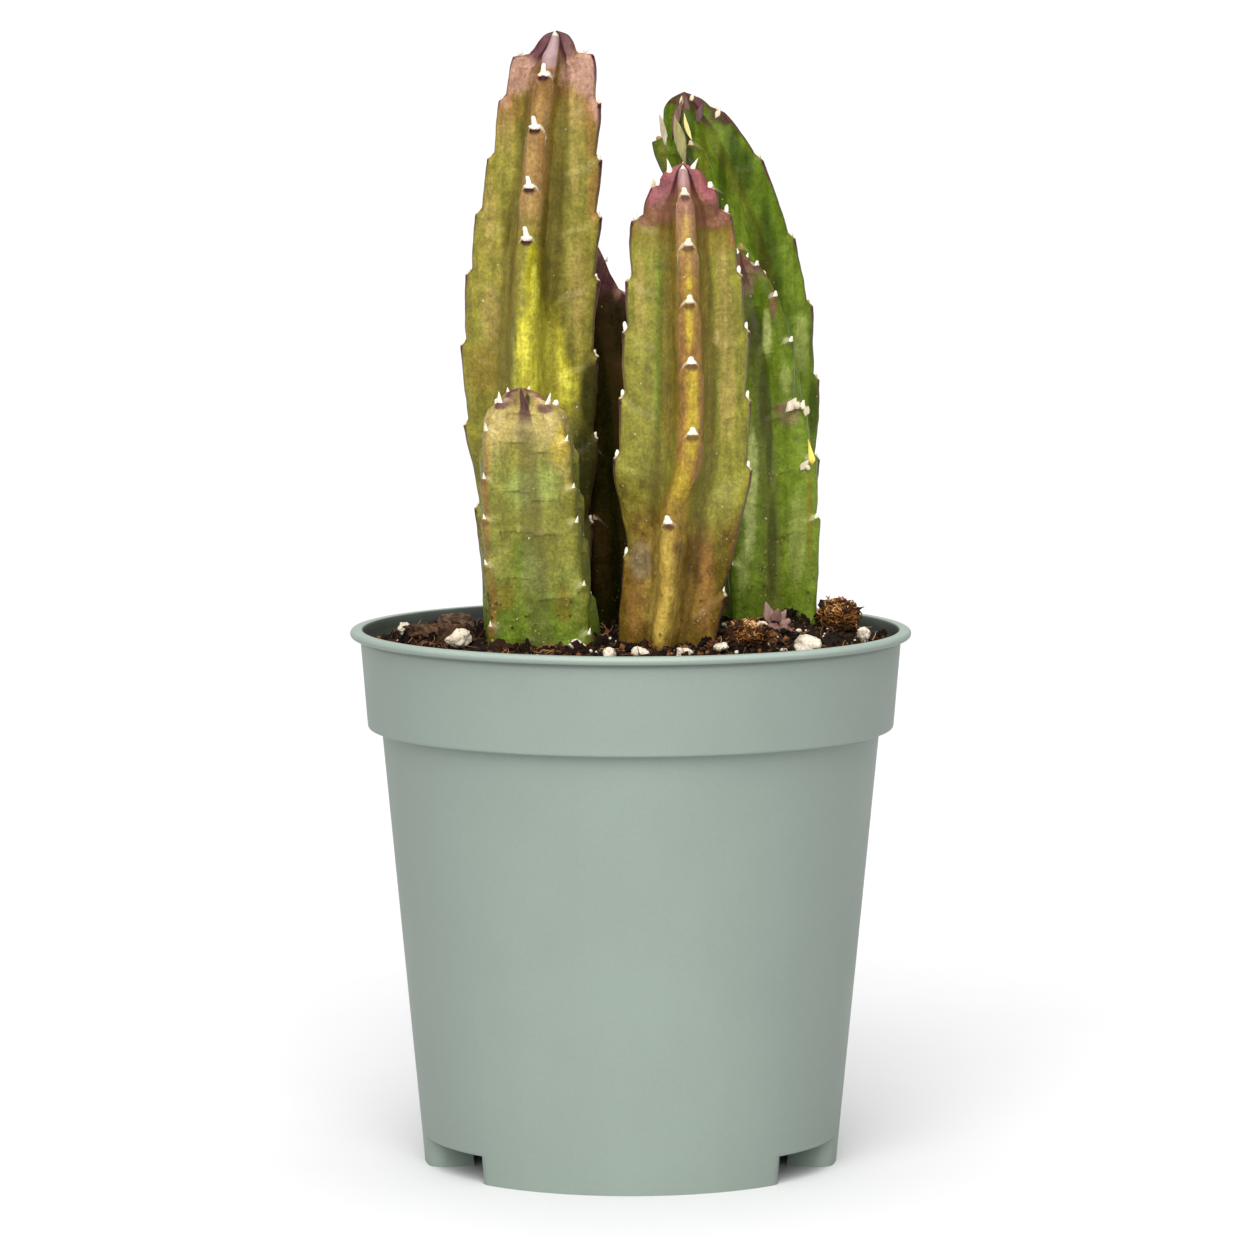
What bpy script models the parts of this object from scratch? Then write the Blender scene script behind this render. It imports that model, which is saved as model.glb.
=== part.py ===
"""Potted stapelia: six four-ribbed succulent stems in a moulded nursery pot of peat.

Blender 4.5, metres, +Z up. The origin is the middle of the pot's foot, on the surface
that the pot stands on, and the front of the pot faces -Y.
"""

import math
import random
from typing import NamedTuple

import bmesh
import bpy
from mathutils import Matrix, Vector, noise
from mathutils.bvhtree import BVHTree

MM = 0.001
SEED = 7
SEAT_GAP = 0.3

# Pot, in millimetres
POT_HEIGHT = 114.8
LIP_RADIUS = 60.0
LIP_THICKNESS = 1.8
COLLAR_TOP_RADIUS = 57.8
COLLAR_FOOT_RADIUS = 56.3
COLLAR_FOOT_HEIGHT = 93.7
BODY_TOP_RADIUS = 53.3
BODY_FOOT_RADIUS = 44.4
WALL = 1.2
LEDGE_RISE = 0.4
EDGE_ROUND = 0.6
FLOOR_HEIGHT = 6.0
FLOOR_THICKNESS = 1.4
FOOT_WALL = 1.5
FOOT_COUNT = 3
FOOT_HALF_ANGLE = 46.0
FOOT_RETURN = 8.5
FOOT_CORNER = 2.6
FOOT_INSET = 0.05
DRAIN_COUNT = 6
DRAIN_CIRCLE = 27.0
DRAIN_RADIUS = 3.5
DRAIN_FIRST = 30.0
DRAIN_SEGMENTS = 14
POT_SEGMENTS = 56

# Soil, in millimetres
SOIL_EDGE_HEIGHT = 111.2
SOIL_DOME = 1.5
MOUND_CENTRE = (32.0, 4.0)
MOUND_HEIGHT = 3.6
MOUND_SPREAD = 13.0
CRUMB_SIZE = 6.5
CRUMB_HEIGHT = 0.9
SOIL_SEGMENTS = 48
SOIL_RINGS = 10

# Stems, in millimetres
BASE_HEIGHT = 101.0
HOLE_GAP = 0.45
HOLE_TOP = 120.0
HOLE_STEPS = 2
RIBS = 4
RIB_COLUMNS = (0.0, 0.1, 0.32, 0.68, 0.9)
RIB_SHARPNESS = 2.0
SHELF = 1.3
STEP = 1.25
TOP_STEP = 3.0
STEP_FULL_REACH = 11.0
DROOP = 2.2
ROW_GAP = 0.3
LONG_ROW = 7.0
TIP_SHARE = 0.35
SPUR_LENGTH = 2.9
SPUR_RADIUS = 1.0
SPUR_SUNK = 0.9
SPUR_INSET = 0.9
SPUR_LEAN = 6.0
SPUR_SIDES = 4
SPUR_LEAST = 0.72
SPUR_CLEARANCE = 2.0


class Stem(NamedTuple):
    """A stem's name, its spine as (height, x, y, reach of the ribs, turn in degrees) from
    the soil up to the tip, the direction of each rib from the front in degrees, the group
    of ribs whose teeth grow level, the heights of each rib's teeth, how far out the grooves
    between the ribs lie, as a share of the reach, and its colour."""

    name: str
    spine: tuple
    ribs: tuple
    groups: tuple
    teeth: tuple
    valley: float
    colour: tuple


SQUARE = (0.0, 90.0, 180.0, 270.0)
OPPOSITE = (0, 1, 0, 1)
NEIGHBOURS = (0, 1, 1, 0)
OLIVE = (0.19, 0.17, 0.035)
LEAF_GREEN = (0.09, 0.17, 0.03)
DARK_PURPLE = (0.05, 0.025, 0.025)

STEMS = (
    Stem(
        "stem_tall_left",
        (
            (108.0, -20.4, 18.5, 11.2, -4.0),
            (127.0, -20.6, 18.3, 12.1, -4.0),
            (142.0, -20.8, 18.0, 13.4, -4.0),
            (157.0, -21.4, 17.6, 14.8, -4.0),
            (174.0, -21.9, 17.0, 15.1, -5.0),
            (189.0, -21.2, 16.7, 14.7, -6.0),
            (203.0, -19.8, 16.4, 13.9, -9.0),
            (215.0, -18.4, 16.1, 12.8, -13.0),
            (228.0, -17.2, 15.8, 11.2, -12.0),
            (236.5, -16.5, 15.6, 8.8, -8.0),
            (240.0, -16.0, 15.5, 5.4, -8.0),
            (242.0, -15.9, 15.5, 0.0, -8.0),
        ),
        SQUARE,
        OPPOSITE,
        (
            (232.6, 221.5, 208.9, 197.9),
            (237.0, 226.5, 214.3, 202.0, 188.4, 172.0, 154.2, 136.0),
            (234.0, 221.5, 209.0, 196.0, 181.0, 164.0, 146.0, 128.0),
            (236.5, 227.0, 214.5, 202.6, 189.5, 174.3, 157.0, 139.0),
        ),
        0.48,
        OLIVE,
    ),
    Stem(
        "stem_front_centre",
        (
            (108.0, 7.4, -12.2, 10.0, -10.0),
            (115.5, 8.0, -12.4, 10.6, -10.0),
            (124.0, 9.4, -12.6, 11.5, -10.0),
            (134.5, 10.6, -12.7, 12.8, -13.0),
            (142.0, 10.8, -12.8, 14.0, -11.0),
            (150.0, 10.9, -12.9, 14.9, 4.0),
            (164.0, 11.4, -13.0, 14.2, 7.0),
            (179.0, 11.6, -13.2, 13.6, 3.0),
            (190.0, 11.2, -13.4, 12.5, 5.0),
            (202.6, 10.8, -13.6, 10.8, 5.0),
            (209.3, 11.0, -13.8, 6.7, 2.0),
            (212.7, 11.0, -13.9, 3.9, 0.0),
            (214.5, 10.9, -14.0, 0.0, 0.0),
        ),
        SQUARE,
        OPPOSITE,
        (
            (208.0, 197.6, 185.7, 173.0, 158.2, 139.4),
            (208.8, 203.7, 190.6, 178.8, 164.2, 149.6, 123.1),
            (210.0, 198.0, 185.0, 171.0, 156.0, 138.0),
            (209.2, 202.3, 189.6, 178.8, 164.9, 152.2, 131.0),
        ),
        0.5,
        OLIVE,
    ),
    Stem(
        "stem_short_left",
        (
            (108.0, -18.5, -4.5, 15.4, 0.0),
            (114.4, -19.0, -4.6, 15.4, 0.0),
            (124.0, -19.9, -4.7, 15.2, 0.0),
            (133.0, -20.7, -4.8, 14.7, 0.0),
            (143.0, -21.3, -5.0, 14.2, 0.0),
            (151.0, -21.7, -5.2, 13.5, 0.0),
            (158.7, -22.3, -5.5, 12.0, 0.0),
            (162.3, -22.4, -5.7, 9.4, 0.0),
            (165.1, -23.0, -5.9, 5.4, 0.0),
            (166.8, -23.3, -6.0, 0.0, 0.0),
        ),
        (43.0, 130.0, 230.0, 316.0),
        NEIGHBOURS,
        (
            (163.6, 155.8, 145.9, 138.7, 125.3, 115.0),
            (162.0, 152.5, 143.0, 133.5, 121.0),
            (162.4, 153.0, 143.5, 134.0, 121.5),
            (163.9, 158.0, 147.8, 139.3, 129.6, 116.6),
        ),
        0.62,
        LEAF_GREEN,
    ),
    Stem(
        "stem_tall_right",
        (
            (108.0, 27.0, 37.2, 10.2, 5.0),
            (120.0, 27.2, 37.2, 11.2, 5.0),
            (135.0, 28.0, 37.3, 12.7, 5.0),
            (148.0, 28.5, 37.4, 13.2, 3.0),
            (166.0, 28.4, 37.2, 13.1, 2.0),
            (182.7, 26.8, 36.8, 12.8, 0.0),
            (196.4, 23.8, 36.2, 12.4, -2.0),
            (206.0, 20.2, 35.8, 12.4, -8.0),
            (216.0, 16.2, 35.4, 11.8, -14.0),
            (224.3, 13.4, 35.0, 7.2, -14.0),
            (227.0, 12.3, 34.9, 3.9, -14.0),
            (228.6, 11.6, 34.8, 0.0, -14.0),
        ),
        SQUARE,
        NEIGHBOURS,
        (
            (217.2, 207.5, 194.7, 179.0, 161.0, 143.0),
            (224.2, 213.8, 196.6, 181.8, 165.6, 148.0, 130.0),
            (224.0, 213.0, 198.0, 183.0, 167.0, 149.0, 131.0),
            (217.6, 206.0, 192.5, 177.0, 159.0, 141.0),
        ),
        0.52,
        LEAF_GREEN,
    ),
    Stem(
        "stem_mid_right",
        (
            (108.0, 31.0, 13.5, 11.8, 0.0),
            (119.0, 30.7, 13.5, 12.5, 0.0),
            (132.0, 30.4, 13.5, 13.4, 0.0),
            (143.0, 29.8, 13.6, 14.5, 0.0),
            (151.0, 29.2, 13.7, 14.0, 0.0),
            (163.0, 28.0, 13.9, 12.6, 0.0),
            (176.0, 26.4, 14.2, 11.4, 0.0),
            (185.5, 25.0, 14.5, 8.6, 0.0),
            (191.0, 24.1, 14.7, 5.6, 0.0),
            (194.6, 23.5, 14.9, 0.0, 0.0),
        ),
        (45.0, 135.0, 225.0, 315.0),
        OPPOSITE,
        (
            (191.8, 185.3, 175.8, 162.3, 151.1, 138.0),
            (188.5, 180.0, 168.5, 156.5, 143.0, 127.0),
            (191.6, 184.0, 174.0, 161.0, 149.0, 135.0),
            (188.8, 180.5, 169.5, 157.0, 144.5, 128.0),
        ),
        0.55,
        LEAF_GREEN,
    ),
    Stem(
        "stem_rear",
        (
            (108.0, -2.6, 34.0, 10.3, -25.0),
            (125.0, -2.8, 34.0, 11.2, -25.0),
            (145.0, -3.6, 34.0, 11.6, -25.0),
            (165.0, -5.0, 34.0, 11.6, -27.0),
            (178.0, -7.2, 34.0, 10.8, -30.0),
            (184.6, -8.1, 33.9, 9.4, -30.0),
            (189.0, -8.7, 33.8, 6.2, -30.0),
            (194.0, -9.2, 33.7, 3.3, -30.0),
            (198.5, -9.6, 33.6, 0.0, -30.0),
        ),
        SQUARE,
        OPPOSITE,
        (
            (191.0, 179.0, 166.0, 151.5, 136.0),
            (184.6, 173.0, 159.0, 144.0, 128.0),
            (190.6, 178.0, 165.0, 151.0, 135.0),
            (184.2, 172.5, 158.5, 143.5, 127.5),
        ),
        0.52,
        DARK_PURPLE,
    ),
)

# Loose bits on the soil, each as x, y, length, width and height, in millimetres
PERLITE = (
    (-36.5, -17.5, 5.2, 4.2, 3.6),
    (-11.3, -24.0, 2.8, 2.4, 2.0),
    (-4.5, -37.5, 3.0, 2.6, 2.0),
    (2.1, -36.0, 3.9, 3.0, 2.2),
    (11.0, -36.5, 3.4, 2.8, 2.2),
    (19.0, -29.5, 3.4, 2.6, 2.4),
    (36.8, -33.5, 6.4, 4.8, 4.4),
    (49.3, -8.0, 3.8, 2.8, 2.4),
    (-49.0, 13.5, 3.6, 2.8, 2.6),
    (-10.0, 47.0, 3.8, 3.0, 2.6),
    (-38.0, 33.0, 3.0, 2.6, 2.2),
)
BARK = (
    (-44.5, 3.0, 8.0, 4.6, 3.0),
    (-38.5, 20.5, 7.4, 4.2, 3.4),
    (-38.0, -8.5, 5.4, 4.4, 3.6),
    (8.0, 48.0, 7.0, 4.0, 2.8),
    (46.5, 22.0, 6.0, 4.0, 2.8),
)
COIR = (
    (25.0, -21.5, 7.6, 6.0, 5.2),
    (45.0, 3.5, 9.0, 8.0, 6.4),
)
LUMP_ROUGHNESS = 0.12
CHIP_ROUGHNESS = 0.2
LUMP_TILT = 0.35
DROP_HEIGHT = 140.0
COIR_CORE = 0.84
COIR_STRANDS = 9
COIR_STRAND_RADIUS = 0.45
COIR_STRAND_LENGTH = (0.8, 1.7)


def clear_scene():
    for obj in list(bpy.data.objects):
        bpy.data.objects.remove(obj)


def material(name, colour, roughness, metallic=0.0):
    made = bpy.data.materials.new(name)
    made.use_nodes = True
    shader = made.node_tree.nodes["Principled BSDF"]
    shader.inputs["Base Color"].default_value = (*colour, 1.0)
    shader.inputs["Roughness"].default_value = roughness
    shader.inputs["Metallic"].default_value = metallic
    return made


def object_from(name, mesh_builder, finish=None, sharp=40.0):
    """An object made from a bmesh in millimetres, with smooth faces and sharp edges kept."""
    mesh = bpy.data.meshes.new(name)
    bmesh.ops.recalc_face_normals(mesh_builder, faces=mesh_builder.faces)
    bmesh.ops.scale(mesh_builder, vec=(MM, MM, MM), verts=mesh_builder.verts)
    mesh_builder.to_mesh(mesh)
    mesh_builder.free()
    mesh.shade_smooth()
    mesh.set_sharp_from_angle(angle=math.radians(sharp))
    obj = bpy.data.objects.new(name, mesh)
    bpy.context.scene.collection.objects.link(obj)
    if finish:
        mesh.materials.append(finish)
    return obj


def combine(body, pieces, operation, solver="EXACT"):
    """Joins or cuts the body with the pieces in one Boolean, and then removes the pieces."""
    group = bpy.data.collections.new(f"{body.name}_{operation.lower()}")
    bpy.context.scene.collection.children.link(group)
    for piece in pieces:
        bpy.context.scene.collection.objects.unlink(piece)
        group.objects.link(piece)
    boolean = body.modifiers.new(operation.title(), "BOOLEAN")
    boolean.operation = operation
    boolean.operand_type = "COLLECTION"
    boolean.collection = group
    boolean.solver = solver
    graph = bpy.context.evaluated_depsgraph_get()
    mesh = bpy.data.meshes.new_from_object(body.evaluated_get(graph))
    body.modifiers.clear()
    body.data = mesh
    for piece in pieces:
        bpy.data.objects.remove(piece)
    bpy.data.collections.remove(group)
    finish = mesh.materials[0]
    mesh.materials.clear()
    mesh.materials.append(finish)
    mesh.shade_smooth()
    mesh.set_sharp_from_angle(angle=math.radians(40.0))


def turned(profile, segments):
    """A solid turned round Z from (radius, height) points that start and end on the axis."""
    built = bmesh.new()
    points = [built.verts.new((radius, 0.0, height)) for radius, height in profile]
    edges = [built.edges.new(pair) for pair in zip(points, points[1:])]
    bmesh.ops.spin(
        built,
        geom=points + edges,
        cent=(0.0, 0.0, 0.0),
        axis=(0.0, 0.0, 1.0),
        angle=math.tau,
        steps=segments,
        use_merge=True,
    )
    bmesh.ops.remove_doubles(built, verts=built.verts, dist=1e-4)
    return built


def arc(centre, radius, start, end, steps):
    """Points (radius, height) of an arc, with its angles in degrees from the radial direction."""
    turns = [math.radians(start + (end - start) * i / steps) for i in range(steps + 1)]
    return [
        (centre[0] + radius * math.cos(t), centre[1] + radius * math.sin(t))
        for t in turns
    ]


def body_radius(height):
    """Outer radius of the pot's tapered body at a height."""
    share = height / COLLAR_FOOT_HEIGHT
    return BODY_FOOT_RADIUS + (BODY_TOP_RADIUS - BODY_FOOT_RADIUS) * share


def inner_wall():
    """The pot's inner wall as (radius, height) points, from the floor up to below the lip."""
    ledge = COLLAR_FOOT_HEIGHT + WALL
    floor_top = FLOOR_HEIGHT + FLOOR_THICKNESS
    return [
        (body_radius(floor_top) - WALL, floor_top),
        (BODY_TOP_RADIUS - WALL, ledge),
        (COLLAR_FOOT_RADIUS - WALL, ledge + LEDGE_RISE),
        (COLLAR_TOP_RADIUS - WALL, POT_HEIGHT - LIP_THICKNESS),
    ]


def pot_shell():
    lip_low = POT_HEIGHT - LIP_THICKNESS
    lip_round = LIP_THICKNESS / 2
    profile = [(0.0, FLOOR_HEIGHT), (body_radius(FLOOR_HEIGHT), FLOOR_HEIGHT)]
    profile.append((BODY_TOP_RADIUS, COLLAR_FOOT_HEIGHT))
    corner = (COLLAR_FOOT_RADIUS - EDGE_ROUND, COLLAR_FOOT_HEIGHT + EDGE_ROUND)
    profile += arc(corner, EDGE_ROUND, -90.0, 0.0, 2)
    profile.append((COLLAR_TOP_RADIUS, lip_low))
    profile += arc((LIP_RADIUS - lip_round, POT_HEIGHT - lip_round), lip_round, -90, 90, 4)
    mouth_round = EDGE_ROUND * 2
    mouth = (COLLAR_TOP_RADIUS - WALL + mouth_round, POT_HEIGHT - mouth_round)
    profile += arc(mouth, mouth_round, 90.0, 180.0, 2)
    profile += reversed(inner_wall()[:-1])
    profile.append((0.0, FLOOR_HEIGHT + FLOOR_THICKNESS))
    return turned(profile, POT_SEGMENTS)


def foot_path(radius):
    """Middle line of one foot's wall, centred on +X: a return, a corner, an arc, and back."""
    end = math.radians(FOOT_HALF_ANGLE)
    turn = end - math.asin(FOOT_CORNER / (radius - FOOT_CORNER))
    centre = (radius - FOOT_CORNER) * Vector((math.cos(turn), math.sin(turn)))
    half = []
    for i in range(9):
        angle = turn * i / 8
        half.append(radius * Vector((math.cos(angle), math.sin(angle))))
    for i in range(1, 5):
        angle = turn + (end + math.pi / 2 - turn) * i / 4
        half.append(centre + FOOT_CORNER * Vector((math.cos(angle), math.sin(angle))))
    inward = -Vector((math.cos(end), math.sin(end)))
    half.append(half[-1] + (FOOT_RETURN - FOOT_CORNER) * inward)
    mirrored = [Vector((p.x, -p.y)) for p in half[:0:-1]]
    return mirrored + half


def foot_wall(direction):
    """One foot of the pot, a thin wall bent round at both ends, open underneath."""
    built = bmesh.new()
    loops = []
    for height in (0.0, FLOOR_HEIGHT + FLOOR_THICKNESS / 2):
        # Just inside the body's surface, so that the two never lie in one plane
        path = foot_path(body_radius(height) - FOOT_WALL / 2 - FOOT_INSET)
        outer = []
        inner = []
        for i, point in enumerate(path):
            along = path[min(i + 1, len(path) - 1)] - path[max(i - 1, 0)]
            side = Vector((along.y, -along.x)).normalized() * FOOT_WALL / 2
            outer.append(built.verts.new((*(point + side), height)))
            inner.append(built.verts.new((*(point - side), height)))
        loops.append(outer + inner[::-1])
    low, high = loops
    count = len(low)
    for i in range(count):
        after = (i + 1) % count
        built.faces.new((low[i], low[after], high[after], high[i]))
    for loop in loops:
        for i in range(count // 2 - 1):
            built.faces.new((loop[i], loop[i + 1], loop[-i - 2], loop[-i - 1]))
    turn = Matrix.Rotation(math.radians(direction), 3, "Z")
    bmesh.ops.rotate(built, cent=(0, 0, 0), matrix=turn, verts=built.verts)
    return built


def drain_hole(index):
    built = bmesh.new()
    angle = math.tau * index / DRAIN_COUNT + math.radians(DRAIN_FIRST)
    radius = 0.0 if index == DRAIN_COUNT else DRAIN_CIRCLE
    place = Matrix.Translation((radius * math.cos(angle), radius * math.sin(angle), FLOOR_HEIGHT))
    bmesh.ops.create_cone(
        built,
        cap_ends=True,
        segments=DRAIN_SEGMENTS,
        radius1=DRAIN_RADIUS,
        radius2=DRAIN_RADIUS,
        depth=FLOOR_THICKNESS * 4,
        matrix=place,
    )
    return built


def make_pot():
    plastic = material("pot_plastic", (0.34, 0.43, 0.36), 0.5)
    pot = object_from("pot", pot_shell(), plastic)
    feet = []
    for i in range(FOOT_COUNT):
        feet.append(object_from(f"foot_{i}", foot_wall(-90.0 + 360.0 * i / FOOT_COUNT)))
    combine(pot, feet, "UNION")
    drains = [object_from(f"drain_{i}", drain_hole(i)) for i in range(DRAIN_COUNT + 1)]
    combine(pot, drains, "DIFFERENCE")
    return pot


def soil_height(x, y):
    """Height of the soil: domed, heaped up at the right, with crumbs."""
    radius = inner_wall()[-1][0]
    dome = SOIL_DOME * (1.0 - (x * x + y * y) / radius**2)
    away = (x - MOUND_CENTRE[0]) ** 2 + (y - MOUND_CENTRE[1]) ** 2
    mound = MOUND_HEIGHT * math.exp(-away / (2.0 * MOUND_SPREAD**2))
    crumbs = CRUMB_HEIGHT * noise.noise(Vector((x, y, SEED)) / CRUMB_SIZE)
    return SOIL_EDGE_HEIGHT + dome + mound + crumbs


def make_soil():
    """The peat that fills the pot, with a plain hole for the base of each stem."""
    built = bmesh.new()
    *sides, low, high = inner_wall()
    share = (SOIL_EDGE_HEIGHT - low[1]) / (high[1] - low[1])
    rim = low[0] + (high[0] - low[0]) * share - SEAT_GAP
    loops = []
    for radius, height in (*sides, low):
        loops.append((radius - SEAT_GAP, height + SEAT_GAP))
    loops += [(rim * (SOIL_RINGS - i) / SOIL_RINGS, None) for i in range(SOIL_RINGS)]
    rings = []
    for radius, height in loops:
        ring = []
        for i in range(SOIL_SEGMENTS):
            angle = math.tau * i / SOIL_SEGMENTS
            x = radius * math.cos(angle)
            y = radius * math.sin(angle)
            ring.append(built.verts.new((x, y, soil_height(x, y) if height is None else height)))
        rings.append(ring)
    for low, high in zip(rings, rings[1:]):
        for i in range(SOIL_SEGMENTS):
            after = (i + 1) % SOIL_SEGMENTS
            built.faces.new((low[i], low[after], high[after], high[i]))
    built.faces.new(rings[0])
    middle = built.verts.new((0.0, 0.0, soil_height(0.0, 0.0)))
    for i in range(SOIL_SEGMENTS):
        built.faces.new((rings[-1][i], rings[-1][(i + 1) % SOIL_SEGMENTS], middle))
    bmesh.ops.triangulate(built, faces=built.faces)
    soil = object_from("soil", built, material("peat", (0.035, 0.02, 0.012), 0.95))
    holes = [object_from(f"hole_{stem.name}", stem_hole(stem)) for stem in STEMS]
    combine(soil, holes, "DIFFERENCE")
    return soil


def spine_at(stem, height):
    """The stem's (x, y, reach, turn) at a height, on a smooth curve through its spine."""
    rows = stem.spine
    height = min(max(height, rows[0][0]), rows[-1][0])
    i = max(k for k in range(len(rows) - 1) if rows[k][0] <= height)
    low, high = rows[i], rows[i + 1]
    before = rows[max(i - 1, 0)]
    after = rows[min(i + 2, len(rows) - 1)]
    span = high[0] - low[0]
    t = (height - low[0]) / span
    values = []
    for k in range(1, 5):
        start = (high[k] - before[k]) / (high[0] - before[0]) * span
        end = (after[k] - low[k]) / (after[0] - low[0]) * span
        bend = (2 * t**3 - 3 * t**2 + 1) * low[k] + (t**3 - 2 * t**2 + t) * start
        values.append(bend + (3 * t**2 - 2 * t**3) * high[k] + (t**3 - t**2) * end)
    return values


def notch(stem, rib, height):
    """How far a rib is stepped in at a height: 0 at the tip of a tooth, 1 on the shelf above."""
    above = stem.spine[-1][0]
    for tooth in stem.teeth[rib]:
        if height >= tooth + SHELF:
            return (above - height) / (above - tooth - SHELF)
        if height >= tooth:
            return (height - tooth) / SHELF
        above = tooth
    return 0.0


def rib_reach(stem, rib, height):
    reach = spine_at(stem, height)[2]
    step = TOP_STEP if height >= stem.teeth[rib][0] else STEP
    step *= min(1.0, reach / STEP_FULL_REACH)
    return max(reach - step * notch(stem, rib, height), 0.0)


def surface_point(stem, rib, share, height, extra=0.0):
    """A point on the stem, at a share of the way round from one rib to the next."""
    x, y, reach, turn = spine_at(stem, height)
    near = rib if share <= 0.5 else (rib + 1) % RIBS
    away = 2.0 * min(share, 1.0 - share)
    crest = ((1.0 + math.cos(math.pi * away)) / 2.0) ** RIB_SHARPNESS
    valley = stem.valley * reach
    top = rib_reach(stem, near, height) if not extra else reach
    radius = valley + (top - valley) * crest + extra
    width = (stem.ribs[(rib + 1) % RIBS] - stem.ribs[rib]) % 360.0
    angle = math.radians(stem.ribs[rib] + share * width + turn)
    return Vector((x + radius * math.sin(angle), y - radius * math.cos(angle), height))


def tooth_rows(stem):
    """Heights of each rib on every row of the mesh, from the tip down. A row follows the
    teeth: on a rib with a tooth there it lies at that tooth, and on the others between theirs."""
    events = []
    for group in set(stem.groups):
        lists = [stem.teeth[rib] for rib in range(RIBS) if stem.groups[rib] == group]
        for k in range(max(map(len, lists))):
            level = [heights[k] for heights in lists if len(heights) > k]
            events.append((sum(level) / len(level), group, k))
    events.sort(reverse=True)
    columns = []
    for rib in range(RIBS):
        heights = []
        own = []
        for level, group, k in events:
            is_own = stem.groups[rib] == group and len(stem.teeth[rib]) > k
            tooth = stem.teeth[rib][k] if is_own else level
            heights += [tooth + SHELF, tooth]
            own += [is_own, is_own]
        for i in range(1, len(heights)):
            if not own[i]:
                heights[i] = min(heights[i], heights[i - 1] - ROW_GAP)
        for i in range(len(heights) - 2, -1, -1):
            if not own[i]:
                heights[i] = max(heights[i], heights[i + 1] + ROW_GAP)
        columns.append(heights)
    return list(zip(*columns))


def stem_rows(stem):
    """All rows from just below the tip to the soil, with one more wherever two are far apart."""
    tip = stem.spine[-1][0]
    rows = tooth_rows(stem)
    first = [tip - (tip - height) * TIP_SHARE for height in rows[0]]
    last = [stem.spine[0][0]] * RIBS
    rows = [first, *rows, last]
    filled = [rows[0]]
    for row in rows[1:]:
        gap = sum(filled[-1]) / RIBS - sum(row) / RIBS
        extra = int(gap // LONG_ROW)
        start = filled[-1]
        for i in range(1, extra + 1):
            share = i / (extra + 1)
            filled.append([a + (b - a) * share for a, b in zip(start, row)])
        filled.append(row)
    return filled


def ring_of(stem, built, row, droop):
    """A closed ring of points, whose rows hang lower in the valleys between the ribs."""
    ring = []
    for rib in range(RIBS):
        here, there = row[rib], row[(rib + 1) % RIBS]
        for share in RIB_COLUMNS:
            ease = share * share * (3.0 - 2.0 * share)
            hang = droop * 4.0 * share * (1.0 - share)
            height = here + (there - here) * ease - hang
            ring.append(built.verts.new(surface_point(stem, rib, share, height)))
    return ring


def bridge(built, rings):
    for high, low in zip(rings, rings[1:]):
        for i in range(len(high)):
            after = (i + 1) % len(high)
            built.faces.new((low[i], low[after], high[after], high[i]))


def close_ring(built, ring, centre):
    middle = built.verts.new(centre)
    for i in range(len(ring)):
        built.faces.new((ring[i], ring[(i + 1) % len(ring)], middle))


def stem_body(stem):
    built = bmesh.new()
    rows = stem_rows(stem)
    tip = stem.spine[-1]
    rings = []
    for i, row in enumerate(rows):
        reach = spine_at(stem, sum(row) / RIBS)[2]
        shrink = min(1.0, reach / STEP_FULL_REACH)
        fade = 1.0 if i < len(rows) - 1 else 0.0
        rings.append(ring_of(stem, built, row, DROOP * shrink * fade))
    foot = [built.verts.new((v.co.x, v.co.y, BASE_HEIGHT)) for v in rings[-1]]
    rings.append(foot)
    bridge(built, rings)
    close_ring(built, rings[0], (tip[1], tip[2], tip[0]))
    x, y = spine_at(stem, stem.spine[0][0])[:2]
    close_ring(built, foot, (x, y, BASE_HEIGHT))
    bmesh.ops.triangulate(built, faces=built.faces)
    return built


def stem_hole(stem):
    """The space that the stem's base takes in the soil, a little wider all round."""
    built = bmesh.new()
    start = stem.spine[0][0]
    rise = HOLE_TOP - start
    heights = [start + rise * i / HOLE_STEPS for i in range(HOLE_STEPS, -1, -1)]
    rings = []
    for height in heights:
        ring = []
        for rib in range(RIBS):
            for share in RIB_COLUMNS:
                point = surface_point(stem, rib, share, height, HOLE_GAP)
                ring.append(built.verts.new(point))
        rings.append(ring)
    bottom = BASE_HEIGHT - SEAT_GAP
    rings.append([built.verts.new((v.co.x, v.co.y, bottom)) for v in rings[-1]])
    bridge(built, rings)
    for ring, height in ((rings[0], HOLE_TOP), (rings[-1], bottom)):
        x, y = spine_at(stem, height)[:2]
        close_ring(built, ring, (x, y, height))
    return built


def spur(stem, rib, tooth):
    """A pointed spur that stands on the shelf of a tooth and leans outwards."""
    height = tooth + SHELF * 0.5
    x, y, reach, _ = spine_at(stem, height)
    root = surface_point(stem, rib, 0.0, height)
    outward = (root - Vector((x, y, height))).normalized()
    lean = math.radians(SPUR_LEAN)
    direction = outward * math.sin(lean) + Vector((0, 0, 1)) * math.cos(lean)
    size = SPUR_LEAST + (1.0 - SPUR_LEAST) * min(1.0, reach / STEP_FULL_REACH)
    middle = root - outward * SPUR_INSET + direction * (SPUR_LENGTH / 2 - SPUR_SUNK) * size
    turn = direction.to_track_quat("Z", "Y").to_matrix().to_4x4()
    built = bmesh.new()
    bmesh.ops.create_cone(
        built,
        cap_ends=True,
        segments=SPUR_SIDES,
        radius1=SPUR_RADIUS * size,
        radius2=0.0,
        depth=SPUR_LENGTH * size,
        matrix=Matrix.Translation(middle) @ turn,
    )
    return built


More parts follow.
